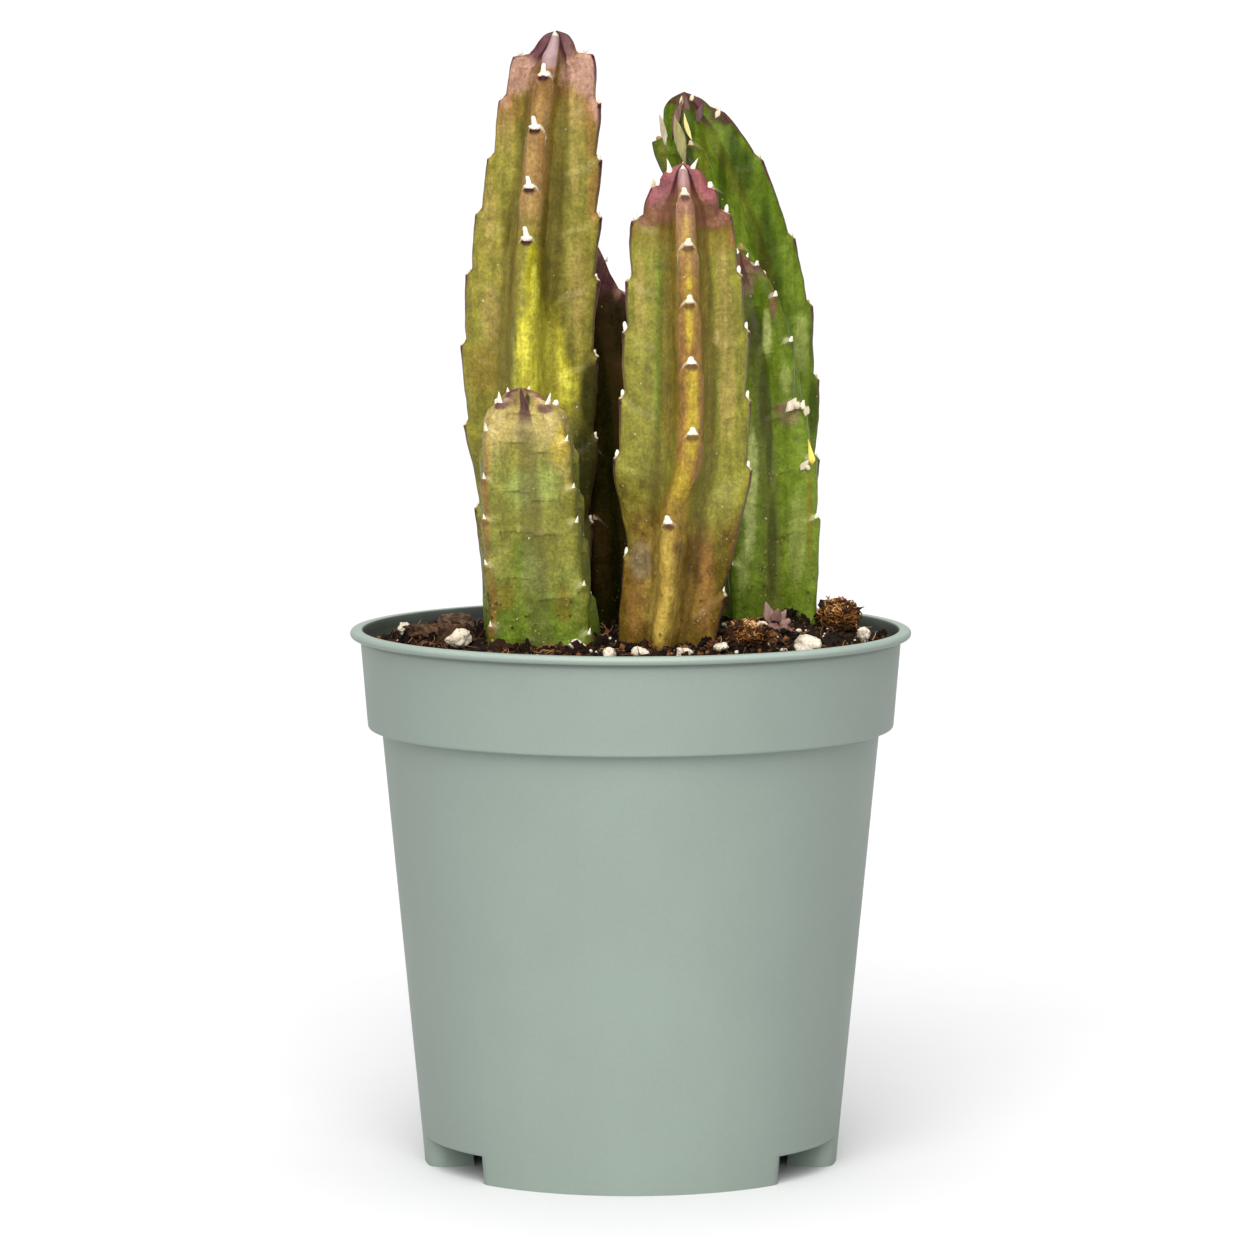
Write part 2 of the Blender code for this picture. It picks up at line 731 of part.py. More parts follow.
def make_stem(stem):
    skin = material(f"{stem.name}_skin", stem.colour, 0.55)
    body = object_from(stem.name, stem_body(stem), skin)
    spurs = []
    for rib in range(RIBS):
        for k, tooth in enumerate(stem.teeth[rib]):
            edge = surface_point(stem, rib, 0.0, tooth)
            if tooth > soil_height(edge.x, edge.y) + SPUR_CLEARANCE:
                spurs.append(object_from(f"spur_{rib}_{k}", spur(stem, rib, tooth)))
    combine(body, spurs, "UNION", "MANIFOLD")
    return body


def lump(draw, length, width, height, rough):
    """An uneven lump: a ball pulled to its size, with every point moved a little."""
    built = bmesh.new()
    bmesh.ops.create_icosphere(built, subdivisions=2, radius=0.5)
    for vert in built.verts:
        vert.co *= 1.0 + draw.uniform(-rough, rough)
    bmesh.ops.scale(built, vec=(length, width, height), verts=built.verts)
    turn = Matrix.Rotation(draw.uniform(0.0, math.tau), 3, "Z")
    turn @= Matrix.Rotation(draw.uniform(-LUMP_TILT, LUMP_TILT), 3, "X")
    bmesh.ops.rotate(built, cent=(0, 0, 0), matrix=turn, verts=built.verts)
    return built


def strand(draw, core):
    """A short thick fibre that stands out of a lump of coir, bent once."""
    built = bmesh.new()
    angle = draw.uniform(0.0, math.tau)
    rise = draw.uniform(0.15, 1.2)
    out = Vector((math.cos(angle) * math.cos(rise), math.sin(angle) * math.cos(rise), math.sin(rise)))
    bend = Vector((draw.uniform(-1, 1), draw.uniform(-1, 1), draw.uniform(-0.4, 0.8)))
    start = Vector((out.x * core[0], out.y * core[1], out.z * core[2])) * 0.3
    middle = start * 1.8
    reach = draw.uniform(*COIR_STRAND_LENGTH)
    points = [start, middle, middle + (out + bend).normalized() * reach]
    rings = []
    for i, point in enumerate(points):
        along = points[min(i + 1, 2)] - points[max(i - 1, 0)]
        frame = along.to_track_quat("Z", "Y").to_matrix()
        size = COIR_STRAND_RADIUS * (1.0 - 0.25 * i)
        corners = [
            point + frame @ Vector((size * math.cos(t), size * math.sin(t), 0.0))
            for t in (0.0, math.tau / 3, math.tau * 2 / 3)
        ]
        rings.append([built.verts.new(corner) for corner in corners])
    bridge(built, rings)
    built.faces.new(rings[0])
    built.faces.new(rings[-1])
    return built


def surface_tree(obj):
    graph = bpy.context.evaluated_depsgraph_get()
    return BVHTree.FromObject(obj, graph)


def seat(piece, soil):
    """Lowers a piece that hangs over the soil until it is the seat gap away from it."""
    ground = surface_tree(soil)
    below = surface_tree(piece)
    down = Vector((0.0, 0.0, -1.0))
    drops = []
    for vert in piece.data.vertices:
        hit = ground.ray_cast(vert.co, down)
        if hit[0]:
            drops.append(hit[3])
    for vert in soil.data.vertices:
        hit = below.ray_cast(vert.co, -down)
        if hit[0]:
            drops.append(hit[3])
    piece.data.transform(Matrix.Translation(down * (min(drops) - SEAT_GAP * MM)))


def hung(name, built, spot, finish=None):
    """An object over its spot on the soil, high enough to be lowered on to it."""
    bmesh.ops.translate(built, vec=(*spot, DROP_HEIGHT), verts=built.verts)
    return object_from(name, built, finish)


def make_loose_bits(soil):
    """Perlite, bark chips and tufts of coir, each lying on the soil."""
    perlite = material("perlite", (0.72, 0.66, 0.56), 0.9)
    bark = material("bark", (0.07, 0.035, 0.02), 0.9)
    coir = material("coir", (0.2, 0.09, 0.035), 0.9)
    for i, (x, y, *size) in enumerate(PERLITE):
        draw = random.Random(f"perlite {SEED} {i}")
        grain = lump(draw, *size, LUMP_ROUGHNESS)
        seat(hung(f"perlite_grain_{i + 1}", grain, (x, y), perlite), soil)
    for i, (x, y, *size) in enumerate(BARK):
        draw = random.Random(f"bark {SEED} {i}")
        chip = lump(draw, *size, CHIP_ROUGHNESS)
        seat(hung(f"bark_chip_{i + 1}", chip, (x, y), bark), soil)
    for i, (x, y, *size) in enumerate(COIR):
        draw = random.Random(f"coir {SEED} {i}")
        core = [side * COIR_CORE for side in size]
        tuft = hung(f"coir_tuft_{i + 1}", lump(draw, *core, LUMP_ROUGHNESS), (x, y), coir)
        strands = []
        for k in range(COIR_STRANDS):
            strands.append(hung(f"strand_{i}_{k}", strand(draw, core), (x, y)))
        combine(tuft, strands, "UNION", "MANIFOLD")
        seat(tuft, soil)


def main():
    clear_scene()
    make_pot()
    soil = make_soil()
    for stem in STEMS:
        make_stem(stem)
    make_loose_bits(soil)


main()
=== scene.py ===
"""The finished look of the potted stapelia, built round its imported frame.

Lengths are in millimetres until a mesh is made, and the front of the pot faces -Y.
"""

import math
import random
from typing import NamedTuple

import bmesh
import bpy
import numpy as np
from mathutils import Euler, Matrix, Vector, noise


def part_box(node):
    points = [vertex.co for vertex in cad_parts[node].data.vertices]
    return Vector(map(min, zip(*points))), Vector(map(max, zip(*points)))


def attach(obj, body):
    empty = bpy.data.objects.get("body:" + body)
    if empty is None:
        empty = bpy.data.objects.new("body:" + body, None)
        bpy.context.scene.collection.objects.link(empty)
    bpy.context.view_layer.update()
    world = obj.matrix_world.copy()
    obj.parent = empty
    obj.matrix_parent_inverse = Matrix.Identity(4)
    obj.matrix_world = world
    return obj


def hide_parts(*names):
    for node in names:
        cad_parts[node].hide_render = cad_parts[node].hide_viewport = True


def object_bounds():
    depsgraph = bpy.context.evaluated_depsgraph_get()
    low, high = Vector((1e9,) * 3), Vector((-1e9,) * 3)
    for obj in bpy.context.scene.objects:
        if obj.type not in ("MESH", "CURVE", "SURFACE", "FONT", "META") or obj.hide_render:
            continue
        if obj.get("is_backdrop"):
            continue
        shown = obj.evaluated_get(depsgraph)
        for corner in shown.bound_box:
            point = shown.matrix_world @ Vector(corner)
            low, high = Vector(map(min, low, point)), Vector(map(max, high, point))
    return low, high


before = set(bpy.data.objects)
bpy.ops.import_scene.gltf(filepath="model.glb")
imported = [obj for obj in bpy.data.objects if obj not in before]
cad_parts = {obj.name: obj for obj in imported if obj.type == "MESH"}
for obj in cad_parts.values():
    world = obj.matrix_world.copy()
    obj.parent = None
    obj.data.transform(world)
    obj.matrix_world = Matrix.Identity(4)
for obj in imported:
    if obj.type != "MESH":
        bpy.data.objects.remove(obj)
CAD_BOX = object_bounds()

MM = 0.001
SEED = 7
UP = Vector((0.0, 0.0, 1.0))
FRONT = Vector((0.0, -1.0, 0.0))

# Camera: its place, its pitch below level and its focal length in the photograph's pixels
CAMERA_X = -0.79
CAMERA_DISTANCE = 1322.99
CAMERA_HEIGHT = 249.98
CAMERA_PITCH = 0.1017
FOCAL_PIXELS = 6213.04
PHOTO_PIXELS = 1254.0
SENSOR_WIDTH = 36.0

# Pot, as in the solids
POT_HEIGHT = 114.8
LIP_RADIUS = 60.0
LIP_THICKNESS = 1.8
COLLAR_TOP_RADIUS = 57.8
COLLAR_FOOT_RADIUS = 56.3
COLLAR_FOOT_HEIGHT = 93.7
BODY_TOP_RADIUS = 53.3
BODY_FOOT_RADIUS = 44.4
WALL = 1.2
MOUTH_RADIUS = 57.3
MOUTH_ROUND = 0.45
LEDGE_RISE = 0.4
EDGE_ROUND = 0.6
FLOOR_HEIGHT = 6.0
FLOOR_THICKNESS = 1.4
FOOT_WALL = 1.5
FOOT_COUNT = 3
FOOT_HALF_ANGLE = 46.0
FOOT_RETURN = 8.5
FOOT_CORNER = 2.6
FOOT_INSET = 0.05
DRAIN_COUNT = 6
DRAIN_CIRCLE = 27.0
DRAIN_RADIUS = 3.5
DRAIN_FIRST = 30.0
POT_SEGMENTS = 216

# Soil
SOIL_EDGE_HEIGHT = 111.2
SOIL_DOME = 1.5
MOUND_CENTRE = (32.0, 4.0)
MOUND_HEIGHT = 3.6
MOUND_SPREAD = 13.0
CRUMB_SIZE = 6.5
CRUMB_HEIGHT = 0.9
SEAT_GAP = 0.3
SOIL_SEGMENTS = 220
SOIL_RINGS = 84

# Stems
BASE_HEIGHT = 101.0
RIBS = 4
RIB_SHARPNESS = 2.0
SHELF = 1.3
STEP = 1.25
STEP_FULL_REACH = 11.0
RIB_HALF_WIDTH = 2.9
ARCH = 2.2
COLUMNS = 40
CROWDING = 0.72
ROW_PITCH = 0.34
BURIED_PITCH = 2.5
SPUR_CLEARANCE = 0.5
# A distance in mm from a tooth that is too great to show
FAR = 99.0

# Colours that the finishes share
LILAC = (0.42, 0.28, 0.28)
DUSTY_PINK = (0.39, 0.22, 0.155)
ROSE = (0.30, 0.14, 0.105)
RUST = (0.27, 0.135, 0.035)
SALMON = (0.33, 0.19, 0.065)
TAN = (0.33, 0.235, 0.07)
SAND = (0.42, 0.33, 0.11)
OLIVE_TAN = (0.24, 0.205, 0.033)
OLIVE = (0.220, 0.205, 0.030)
SAGE = (0.16, 0.15, 0.025)
CELERY = (0.215, 0.215, 0.040)
MOSS = (0.11, 0.10, 0.008)
YELLOW_GREEN = (0.33, 0.30, 0.008)
SUNLIT = (0.60, 0.54, 0.06)
GOLD = (0.42, 0.31, 0.03)
BRONZE = (0.17, 0.10, 0.012)
BROWN = (0.15, 0.085, 0.010)
UMBER = (0.06, 0.032, 0.010)
PALE_GREEN = (0.26, 0.30, 0.07)
FRESH = (0.145, 0.205, 0.020)
LEAF = (0.088, 0.138, 0.008)
DEEP = (0.032, 0.055, 0.003)
SHADE_BLACK = (0.018, 0.018, 0.002)
MAGENTA = (0.25, 0.075, 0.08)
WINE = (0.155, 0.062, 0.038)
HONEY = (0.32, 0.20, 0.035)
AMBER = (0.53, 0.36, 0.07)
SHEEN = (0.46, 0.50, 0.17)
PLUM = (0.10, 0.036, 0.042)
MAROON = (0.05, 0.012, 0.015)
CREAM = (0.88, 0.82, 0.66)
PAPER = (0.76, 0.64, 0.50)
GREY_TAN = (0.21, 0.155, 0.075)


class Stem(NamedTuple):
    """One stem. spine: (height, x, y, reach of the ribs, turn in degrees) from the soil up.
    ribs: the direction of each rib from the front. teeth: the heights of each rib's teeth.
    valley: how far out the grooves lie, as a share of the reach. hang: how far the tooth lines
    hang in the grooves. young: the heights of each rib's youngest teeth. crown: the depth and
    rise of the step above the top teeth. ledges: (rib, tooth, depth) of the other deep steps."""

    name: str
    slot: str
    spine: tuple
    ribs: tuple
    teeth: tuple
    valley: float
    hang: float
    young: tuple
    crown: tuple = (3.0, 1.3)
    ledges: tuple = ()


SQUARE = (0.0, 90.0, 180.0, 270.0)

STEMS = (
    Stem(
        "stem_tall_left", "stem_olive",
        (
            (108.0, -20.4, 18.5, 11.2, -4.0), (127.0, -20.6, 18.3, 12.1, -4.0),
            (142.0, -20.8, 18.0, 13.4, -4.0), (157.0, -21.4, 17.6, 14.8, -4.0),
            (174.0, -21.9, 17.0, 15.1, -5.0), (189.0, -21.2, 16.7, 14.7, -6.0),
            (203.0, -19.8, 16.4, 13.9, -9.0), (215.0, -18.4, 16.1, 12.8, -13.0),
            (228.0, -17.2, 15.8, 11.2, -12.0), (236.5, -16.5, 15.6, 8.8, -8.0),
            (238.2, -16.2, 15.6, 6.3, -8.0), (240.0, -16.0, 15.5, 4.1, -8.0),
            (241.3, -15.9, 15.5, 2.3, -8.0), (242.0, -15.9, 15.5, 0.0, -8.0),
        ),
        SQUARE,
        (
            (232.6, 221.5, 208.9, 197.9), (237.0, 226.5, 214.3, 202.0, 188.4, 172.0, 154.2, 136.0),
            (234.0, 221.5, 209.0, 196.0, 181.0, 164.0, 146.0, 128.0),
            (236.5, 227.0, 214.5, 202.6, 189.5, 174.3, 157.0, 139.0),
        ),
        0.48, 4.5, ((241.2,), (), (241.2,), ()), (3.9, 0.5),
    ),
    Stem(
        "stem_front_centre", "stem_olive",
        (
            (108.0, 7.4, -12.2, 10.0, -10.0), (115.5, 8.0, -12.4, 10.6, -10.0),
            (124.0, 9.4, -12.6, 11.5, -10.0), (134.5, 10.6, -12.7, 12.8, -13.0),
            (142.0, 10.8, -12.8, 14.0, -11.0), (150.0, 10.9, -12.9, 14.9, 4.0),
            (164.0, 11.4, -13.0, 14.2, 7.0), (179.0, 11.6, -13.2, 13.6, 3.0),
            (190.0, 11.2, -13.4, 12.5, 5.0), (202.6, 10.8, -13.6, 10.8, 5.0),
            (209.3, 11.0, -13.8, 6.7, 2.0), (212.7, 11.0, -13.9, 3.9, 0.0), (214.5, 10.9, -14.0, 0.0, 0.0),
        ),
        SQUARE,
        (
            (208.0, 197.6, 185.7, 173.0, 158.2, 139.4), (208.8, 203.7, 190.6, 178.8, 164.2, 149.6, 123.1),
            (210.0, 198.0, 185.0, 171.0, 156.0, 138.0), (209.2, 202.3, 189.6, 178.8, 164.9, 152.2, 131.0),
        ),
        0.5, 4.5, ((213.4,), (), (213.9,), ()), (1.8, 0.8), ((1, 203.7, 2.4), (3, 202.3, 2.4)),
    ),
    Stem(
        "stem_short_left", "stem_green",
        (
            (108.0, -18.5, -4.5, 15.4, 0.0), (114.4, -19.0, -4.6, 15.4, 0.0),
            (124.0, -19.9, -4.7, 15.2, 0.0), (133.0, -20.7, -4.8, 14.7, 0.0),
            (143.0, -21.3, -5.0, 14.2, 0.0), (151.0, -21.7, -5.2, 13.5, 0.0),
            (158.7, -22.3, -5.5, 12.0, 0.0), (162.3, -22.4, -5.7, 9.4, 0.0), (165.1, -23.0, -5.9, 5.4, 0.0),
            (166.8, -23.3, -6.0, 0.0, 0.0),
        ),
        (43.0, 130.0, 230.0, 316.0),
        (
            (163.6, 155.8, 145.9, 138.7, 125.3, 115.0), (162.0, 152.5, 143.0, 133.5, 121.0),
            (162.4, 153.0, 143.5, 134.0, 121.5), (163.9, 158.0, 147.8, 139.3, 129.6, 116.6),
        ),
        0.62, 1.6, ((), (166.2,), (165.6,), ()),
    ),
    Stem(
        "stem_tall_right", "stem_green",
        (
            (108.0, 27.0, 37.2, 10.2, 5.0), (120.0, 27.2, 37.2, 11.2, 5.0), (135.0, 28.0, 37.3, 12.7, 5.0),
            (148.0, 28.5, 37.4, 13.2, 3.0), (166.0, 28.4, 37.2, 13.1, 2.0), (182.7, 26.8, 36.8, 12.8, 0.0),
            (196.4, 23.8, 36.2, 12.4, -2.0), (206.0, 20.2, 35.8, 12.4, -8.0),
            (216.0, 16.2, 35.4, 11.8, -14.0), (224.3, 13.4, 35.0, 7.2, -14.0),
            (227.0, 12.3, 34.9, 3.9, -14.0), (228.6, 11.6, 34.8, 0.0, -14.0),
        ),
        SQUARE,
        (
            (217.2, 207.5, 194.7, 179.0, 161.0, 143.0), (224.2, 213.8, 196.6, 181.8, 165.6, 148.0, 130.0),
            (224.0, 213.0, 198.0, 183.0, 167.0, 149.0, 131.0), (217.6, 206.0, 192.5, 177.0, 159.0, 141.0),
        ),
        0.52, 4.0, ((), (227.6,), (228.0,), ()),
    ),
    Stem(
        "stem_mid_right", "stem_green",
        (
            (108.0, 31.0, 13.5, 11.8, 0.0), (119.0, 30.7, 13.5, 12.5, 0.0), (132.0, 30.4, 13.5, 13.4, 0.0),
            (143.0, 29.8, 13.6, 14.5, 0.0), (151.0, 29.2, 13.7, 14.0, 0.0), (163.0, 28.0, 13.9, 12.6, 0.0),
            (176.0, 26.4, 14.2, 11.4, 0.0), (185.5, 25.0, 14.5, 8.6, 0.0), (191.0, 24.1, 14.7, 5.6, 0.0),
            (194.6, 23.5, 14.9, 0.0, 0.0),
        ),
        (45.0, 135.0, 225.0, 315.0),
        (
            (191.8, 185.3, 175.8, 162.3, 151.1, 138.0), (188.5, 180.0, 168.5, 156.5, 143.0, 127.0),
            (191.6, 184.0, 174.0, 161.0, 149.0, 135.0), (188.8, 180.5, 169.5, 157.0, 144.5, 128.0),
        ),
        0.55, 3.0, ((), (193.4,), (194.2,), (193.2,)), (3.0, 1.3), ((0, 162.3, 3.4),),
    ),
    Stem(
        "stem_rear", "stem_purple",
        (
            (108.0, -2.6, 34.0, 10.3, -25.0), (125.0, -2.8, 34.0, 11.2, -25.0),
            (145.0, -3.6, 34.0, 11.6, -25.0), (165.0, -5.0, 34.0, 11.6, -27.0),
            (178.0, -7.2, 34.0, 10.8, -30.0), (184.6, -8.1, 33.9, 9.4, -30.0),
            (189.0, -8.7, 33.8, 6.2, -30.0), (194.0, -9.2, 33.7, 3.3, -30.0),
            (198.5, -9.6, 33.6, 0.0, -30.0),
        ),
        SQUARE,
        (
            (191.0, 179.0, 166.0, 151.5, 136.0), (184.6, 173.0, 159.0, 144.0, 128.0),
            (190.6, 178.0, 165.0, 151.0, 135.0), (184.2, 172.5, 158.5, 143.5, 127.5),
        ),
        0.52, 4.0, ((196.6,), (192.0,), (197.0,), (192.6,)),
    ),
)


# Inputs and output of a Mix node that mixes colours
MIX_SHARE, MIX_FIRST, MIX_SECOND, MIX_RESULT = 0, 6, 7, 2


class Paint:
    """A new material or world, with a short way to add each kind of node that it needs."""

    def __init__(self, name, kind="materials"):
        self.data = getattr(bpy.data, kind).new(name)
        self.data.use_nodes = True
        self.tree = self.data.node_tree
        self.where = self.add("TexCoord")

    def put(self, value, socket):
        """Sets a socket, or links it to another node's output."""
        if isinstance(value, bpy.types.NodeSocket):
            self.tree.links.new(value, socket)
        else:
            socket.default_value = (*value, 1.0) if socket.type == "RGBA" else value

    def add(self, kind, inputs=None, **settings):
        """The outputs of a new node, whose inputs are named or numbered."""
        node = self.tree.nodes.new(f"ShaderNode{kind}")
        for name, value in settings.items():
            setattr(node, name, value)
        for name, value in (inputs or {}).items():
            self.put(value, node.inputs[name])
        return node.outputs

    def finish(self, colour, roughness, normal=None, **more):
        """Sets the shader's own inputs, whose names have _ for a space."""
        shader = self.tree.nodes["Principled BSDF"]
        self.put(colour, shader.inputs["Base Color"])
        self.put(roughness, shader.inputs["Roughness"])
        if normal:
            self.put(normal, shader.inputs["Normal"])
        for name, value in more.items():
            self.put(value, shader.inputs[name.replace("_", " ")])
        return self.data

    def attribute(self, name):
        return self.add("Attribute", attribute_name=name)["Fac"]

    def stretched(self, stretch):
        """The place in the object, scaled along its axes."""
        place = self.where["Object"]
        return self.add("Mapping", {"Vector": place, "Scale": stretch})["Vector"] if stretch else place

    def height(self):
        """Height in metres."""
        return self.add("SeparateXYZ", {"Vector": self.where["Object"]})["Z"]

    def outward(self):
        """How far out of the middle line a point lies along its own normal: below 0 inside."""
        vectors = {0: self.stretched((1.0, 1.0, 0.0)), 1: self.where["Normal"]}
        return self.add("VectorMath", vectors, operation="DOT_PRODUCT")["Value"]

    def noise(self, scale, detail=4.0, roughness=0.55, stretch=None):
        size = {"Scale": scale, "Detail": detail, "Roughness": roughness}
        return self.add("TexNoise", {"Vector": self.stretched(stretch), **size})["Fac"]

    def cells(self, scale, feature="F1", stretch=None):
        inputs = {"Vector": self.stretched(stretch), "Scale": scale}
        return self.add("TexVoronoi", inputs, feature=feature)["Distance"]

    def ramp(self, value, stops):
        node = self.tree.nodes.new("ShaderNodeValToRGB")
        self.put(value, node.inputs["Fac"])
        elements = node.color_ramp.elements
        while len(elements) < len(stops):
            elements.new(0.5)
        for element, (position, colour) in zip(elements, stops):
            element.position = position
            element.color = (*colour, 1.0)
        return node.outputs["Color"]

    def mix(self, share, first, second, blend="MIX"):
        inputs = {MIX_SHARE: share, MIX_FIRST: first, MIX_SECOND: second}
        return self.add("Mix", inputs, data_type="RGBA", blend_type=blend)[MIX_RESULT]

    def maths(self, operation, first, second):
        return self.add("Math", {0: first, 1: second}, operation=operation)["Value"]

    def plus(self, first, second):
        return self.maths("ADD", first, second)

    def times(self, first, second):
        return self.maths("MULTIPLY", first, second)

    def swing(self, value, size):
        """A value from 0 to 1 turned into one that swings about 0 over a size."""
        return self.times(self.maths("SUBTRACT", value, 0.5), size)

    def between(self, value, low, high, start=0.0, end=1.0):
        """A value spread smoothly from start to end as it goes from low to high."""
        inputs = {"Value": value, "From Min": low, "From Max": high, "To Min": start, "To Max": end}
        return self.add("MapRange", inputs, interpolation_type="SMOOTHSTEP")["Result"]

    def stain(self, colour, share, strength, tint):
        """A colour with a share of a tint over it."""
        return self.mix(self.times(share, strength), colour, tint)

    def layer(self, colour, key, ragged, low, high, tint, strength):
        """A colour with a tint over it where an attribute, made ragged, goes from low to high."""
        share = self.between(self.plus(self.attribute(key), ragged), low, high, 0.0, strength)
        return self.mix(share, colour, tint)

    def tinted(self, colour, value, dark, light):
        """A colour made darker and lighter by a value that goes from 0 to 1."""
        shade = self.between(value, 0.25, 0.75, dark, light)
        grey = self.add("CombineColor", {"Red": shade, "Green": shade, "Blue": shade})["Color"]
        return self.mix(1.0, colour, grey, "MULTIPLY")

    def bumps(self, *layers):
        """A normal from layers of (height from 0 to 1, strength, depth in millimetres)."""
        normal = {}
        for height, strength, depth in layers:
            inputs = {"Height": height, "Strength": strength, "Distance": depth * MM, **normal}
            normal = {"Normal": self.add("Bump", inputs)["Normal"]}
        return normal["Normal"]


def pot_finish():
    """Satin grey-green moulded plastic, faintly mottled, with a fine orange-peel skin. Painted
    shade darkens it inside, a painted highlight lightens its lip and a painted shadow darkens
    it just under the lip, at heights in metres."""
    paint = Paint("pot_plastic")
    cloud = paint.noise(38.0, 3.0)
    grain = paint.noise(2600.0, 2.0)
    colour = paint.tinted((0.226, 0.274, 0.238), cloud, 0.975, 1.025)
    colour = paint.tinted(colour, paint.noise(60.0, 4.0, 0.6, (1.0, 1.0, 0.08)), 0.985, 1.015)
    colour = paint.tinted(colour, grain, 0.97, 1.03)
    flecks = paint.between(paint.cells(170.0), 0.035, 0.02)
    rare = paint.between(paint.noise(55.0, 1.0), 0.60, 0.66)
    colour = paint.stain(colour, paint.times(flecks, rare), 0.5, (0.16, 0.17, 0.15))
    # Painted shade on the inner wall: where the surface faces inwards it is darkened with a mottled dark
    # ramp.
    stops = ((0.35, (0.050, 0.056, 0.048)), (0.7, (0.085, 0.092, 0.080)))
    dust = paint.ramp(paint.noise(90.0, 5.0), stops)
    colour = paint.mix(paint.between(paint.outward(), -0.012, -0.040, 0.0, 0.9), colour, dust)
    height = paint.height()
    # Painted highlight along the top of the lip.
    colour = paint.tinted(colour, paint.between(height, 0.1131, 0.1148), 1.0, 1.32)
    # Painted shadow in a thin dark band just under the lip.
    under = paint.times(
        paint.between(height, 0.1118, 0.1128), paint.between(height, 0.1133, 0.1130)
    )
    colour = paint.stain(colour, under, 0.55, (0.05, 0.06, 0.052))
    normal = paint.bumps((grain, 0.10, 0.05), (paint.noise(150.0, 2.0), 0.10, 0.25))
    roughness = paint.between(cloud, 0.3, 0.7, 0.44, 0.54)
    return paint.finish(colour, roughness, normal, IOR=1.49, Specular_IOR_Level=0.38)


def skin_finish(name, face, rib, rim, side, glow, kinds, hem=1.0, comb=0.25, pale=0.4,
                crease=0.25, under=1.0, glaze=0.85, gloss=0.2, grain=0.27, seed=0.0):
    """Waxy stem skin. One ramp colours the faces and one the ribs, from the soil to the tip.
    Over them go painted shade on the sides of the front rib, the patches, of which a few are
    painted highlight and a few painted shade, a painted highlight along the front rib, the streaks,
    painted shade in the grooves, along the creases under the teeth and in the clefts at the tip,
    the purple rib borders, the pale margins of the teeth, the maroon spots under the spurs, and specks."""
    paint = Paint(name)
    plus, times, between = paint.plus, paint.times, paint.between
    drift = paint.noise(70.0 + seed, 3.0)
    mottle = paint.noise(330.0 + seed, 5.0, 0.65)
    fine = paint.noise(1500.0, 4.0, 0.65)
    streak = paint.noise(760.0, 4.0, 0.6, (1.0, 1.0, 0.07))
    level = plus(paint.attribute("rise"), paint.swing(drift, 0.30))
    wavy = plus(level, paint.swing(mottle, 0.12))
    blur = paint.swing(mottle, 0.45)
    worn = plus(blur, paint.swing(streak, comb))
    on_rib = between(plus(paint.attribute("ridge"), blur), 0.38, 0.80)
    colour = paint.mix(on_rib, paint.ramp(wavy, face), paint.ramp(wavy, rib))
    # Painted shade on both sides of the front rib, in the side colour.
    colour = paint.layer(colour, "flank", worn, 0.15, 0.90, side, 0.75)
    for kind in kinds:
        colour = paint.layer(colour, kind, worn, 0.18, 0.80, *PATCHES[kind])
    # Painted highlight along the front rib, for light through it and off its crest.
    colour = paint.layer(colour, "glow", worn, 0.10, 0.95, glow, 1.0)
    colour = paint.tinted(colour, mottle, 0.70, 1.30)
    colour = paint.tinted(colour, streak, 1.0 - 0.7 * comb, 1.0 + 0.7 * comb)
    colour = paint.tinted(colour, fine, 1.0 - grain, 1.0 + grain)
    # Painted shade in the grooves between the ribs.
    colour = paint.mix(between(paint.attribute("crest"), 0.14, 0.0, 0.0, 0.40), colour, UMBER)
    # Painted shade along the creases under the teeth.
    colour = paint.stain(colour, paint.attribute("line"), crease, UMBER)
    # Of these, cleft is painted shade in the grooves at the tip; the rest are the skin's own marks.
    for key, ragged, low, high, tint, strength in (
        ("cleft", blur, 0.25, 0.75, MAROON, 0.9), ("border", blur, 0.30, 0.90, rim, 0.75),
        ("edge", 0.0, 0.15, 0.75, rim, 0.92), ("spot", blur, 0.20, 0.75, MAROON, under),
        ("cap", blur, 0.20, 0.80, LILAC, glaze), ("margin", blur, 0.30, 0.75, PAPER, hem),
    ):
        colour = paint.layer(colour, key, ragged, low, high, tint, strength)
    net = plus(paint.cells(420.0, "DISTANCE_TO_EDGE", (0.45, 0.45, 1.0)), times(blur, 0.25))
    crackle = times(between(net, 0.045, 0.0), between(mottle, 0.46, 0.62))
    colour = paint.stain(colour, crackle, crease, UMBER)
    cluster = between(paint.noise(110.0 + seed, 4.0), 0.54, 0.68)
    scurf = times(between(paint.cells(700.0), 0.20, 0.08), cluster)
    colour = paint.stain(colour, scurf, pale, SAND)
    dots = between(plus(paint.cells(330.0), blur), 0.045, 0.0, 0.0, 0.6)
    colour = paint.mix(dots, colour, PAPER)
    crust = between(paint.noise(170.0 + seed, 4.0, 0.7), 0.46, 0.58)
    foot = times(between(level, 0.42, 0.10, 0.0, 0.4 + 0.6 * pale), crust)
    for scale, low, high, tint in ((650.0, 0.34, 0.14, UMBER), (1000.0, 0.26, 0.08, SAND)):
        bits = between(plus(paint.cells(scale), blur), low, high)
        colour = paint.mix(times(bits, foot), colour, tint)
    wrinkle = paint.noise(560.0, 4.0, 0.6, (0.3, 0.3, 1.0))
    normal = paint.bumps(
        (wrinkle, 0.30, 0.25), (streak, 0.25, 0.25), (fine, 0.22, 0.10), (mottle, 0.40, 0.55)
    )
    roughness = between(mottle, 0.3, 0.7, 0.32, 0.48)
    return paint.finish(colour, roughness, normal, IOR=1.42, Specular_IOR_Level=gloss)


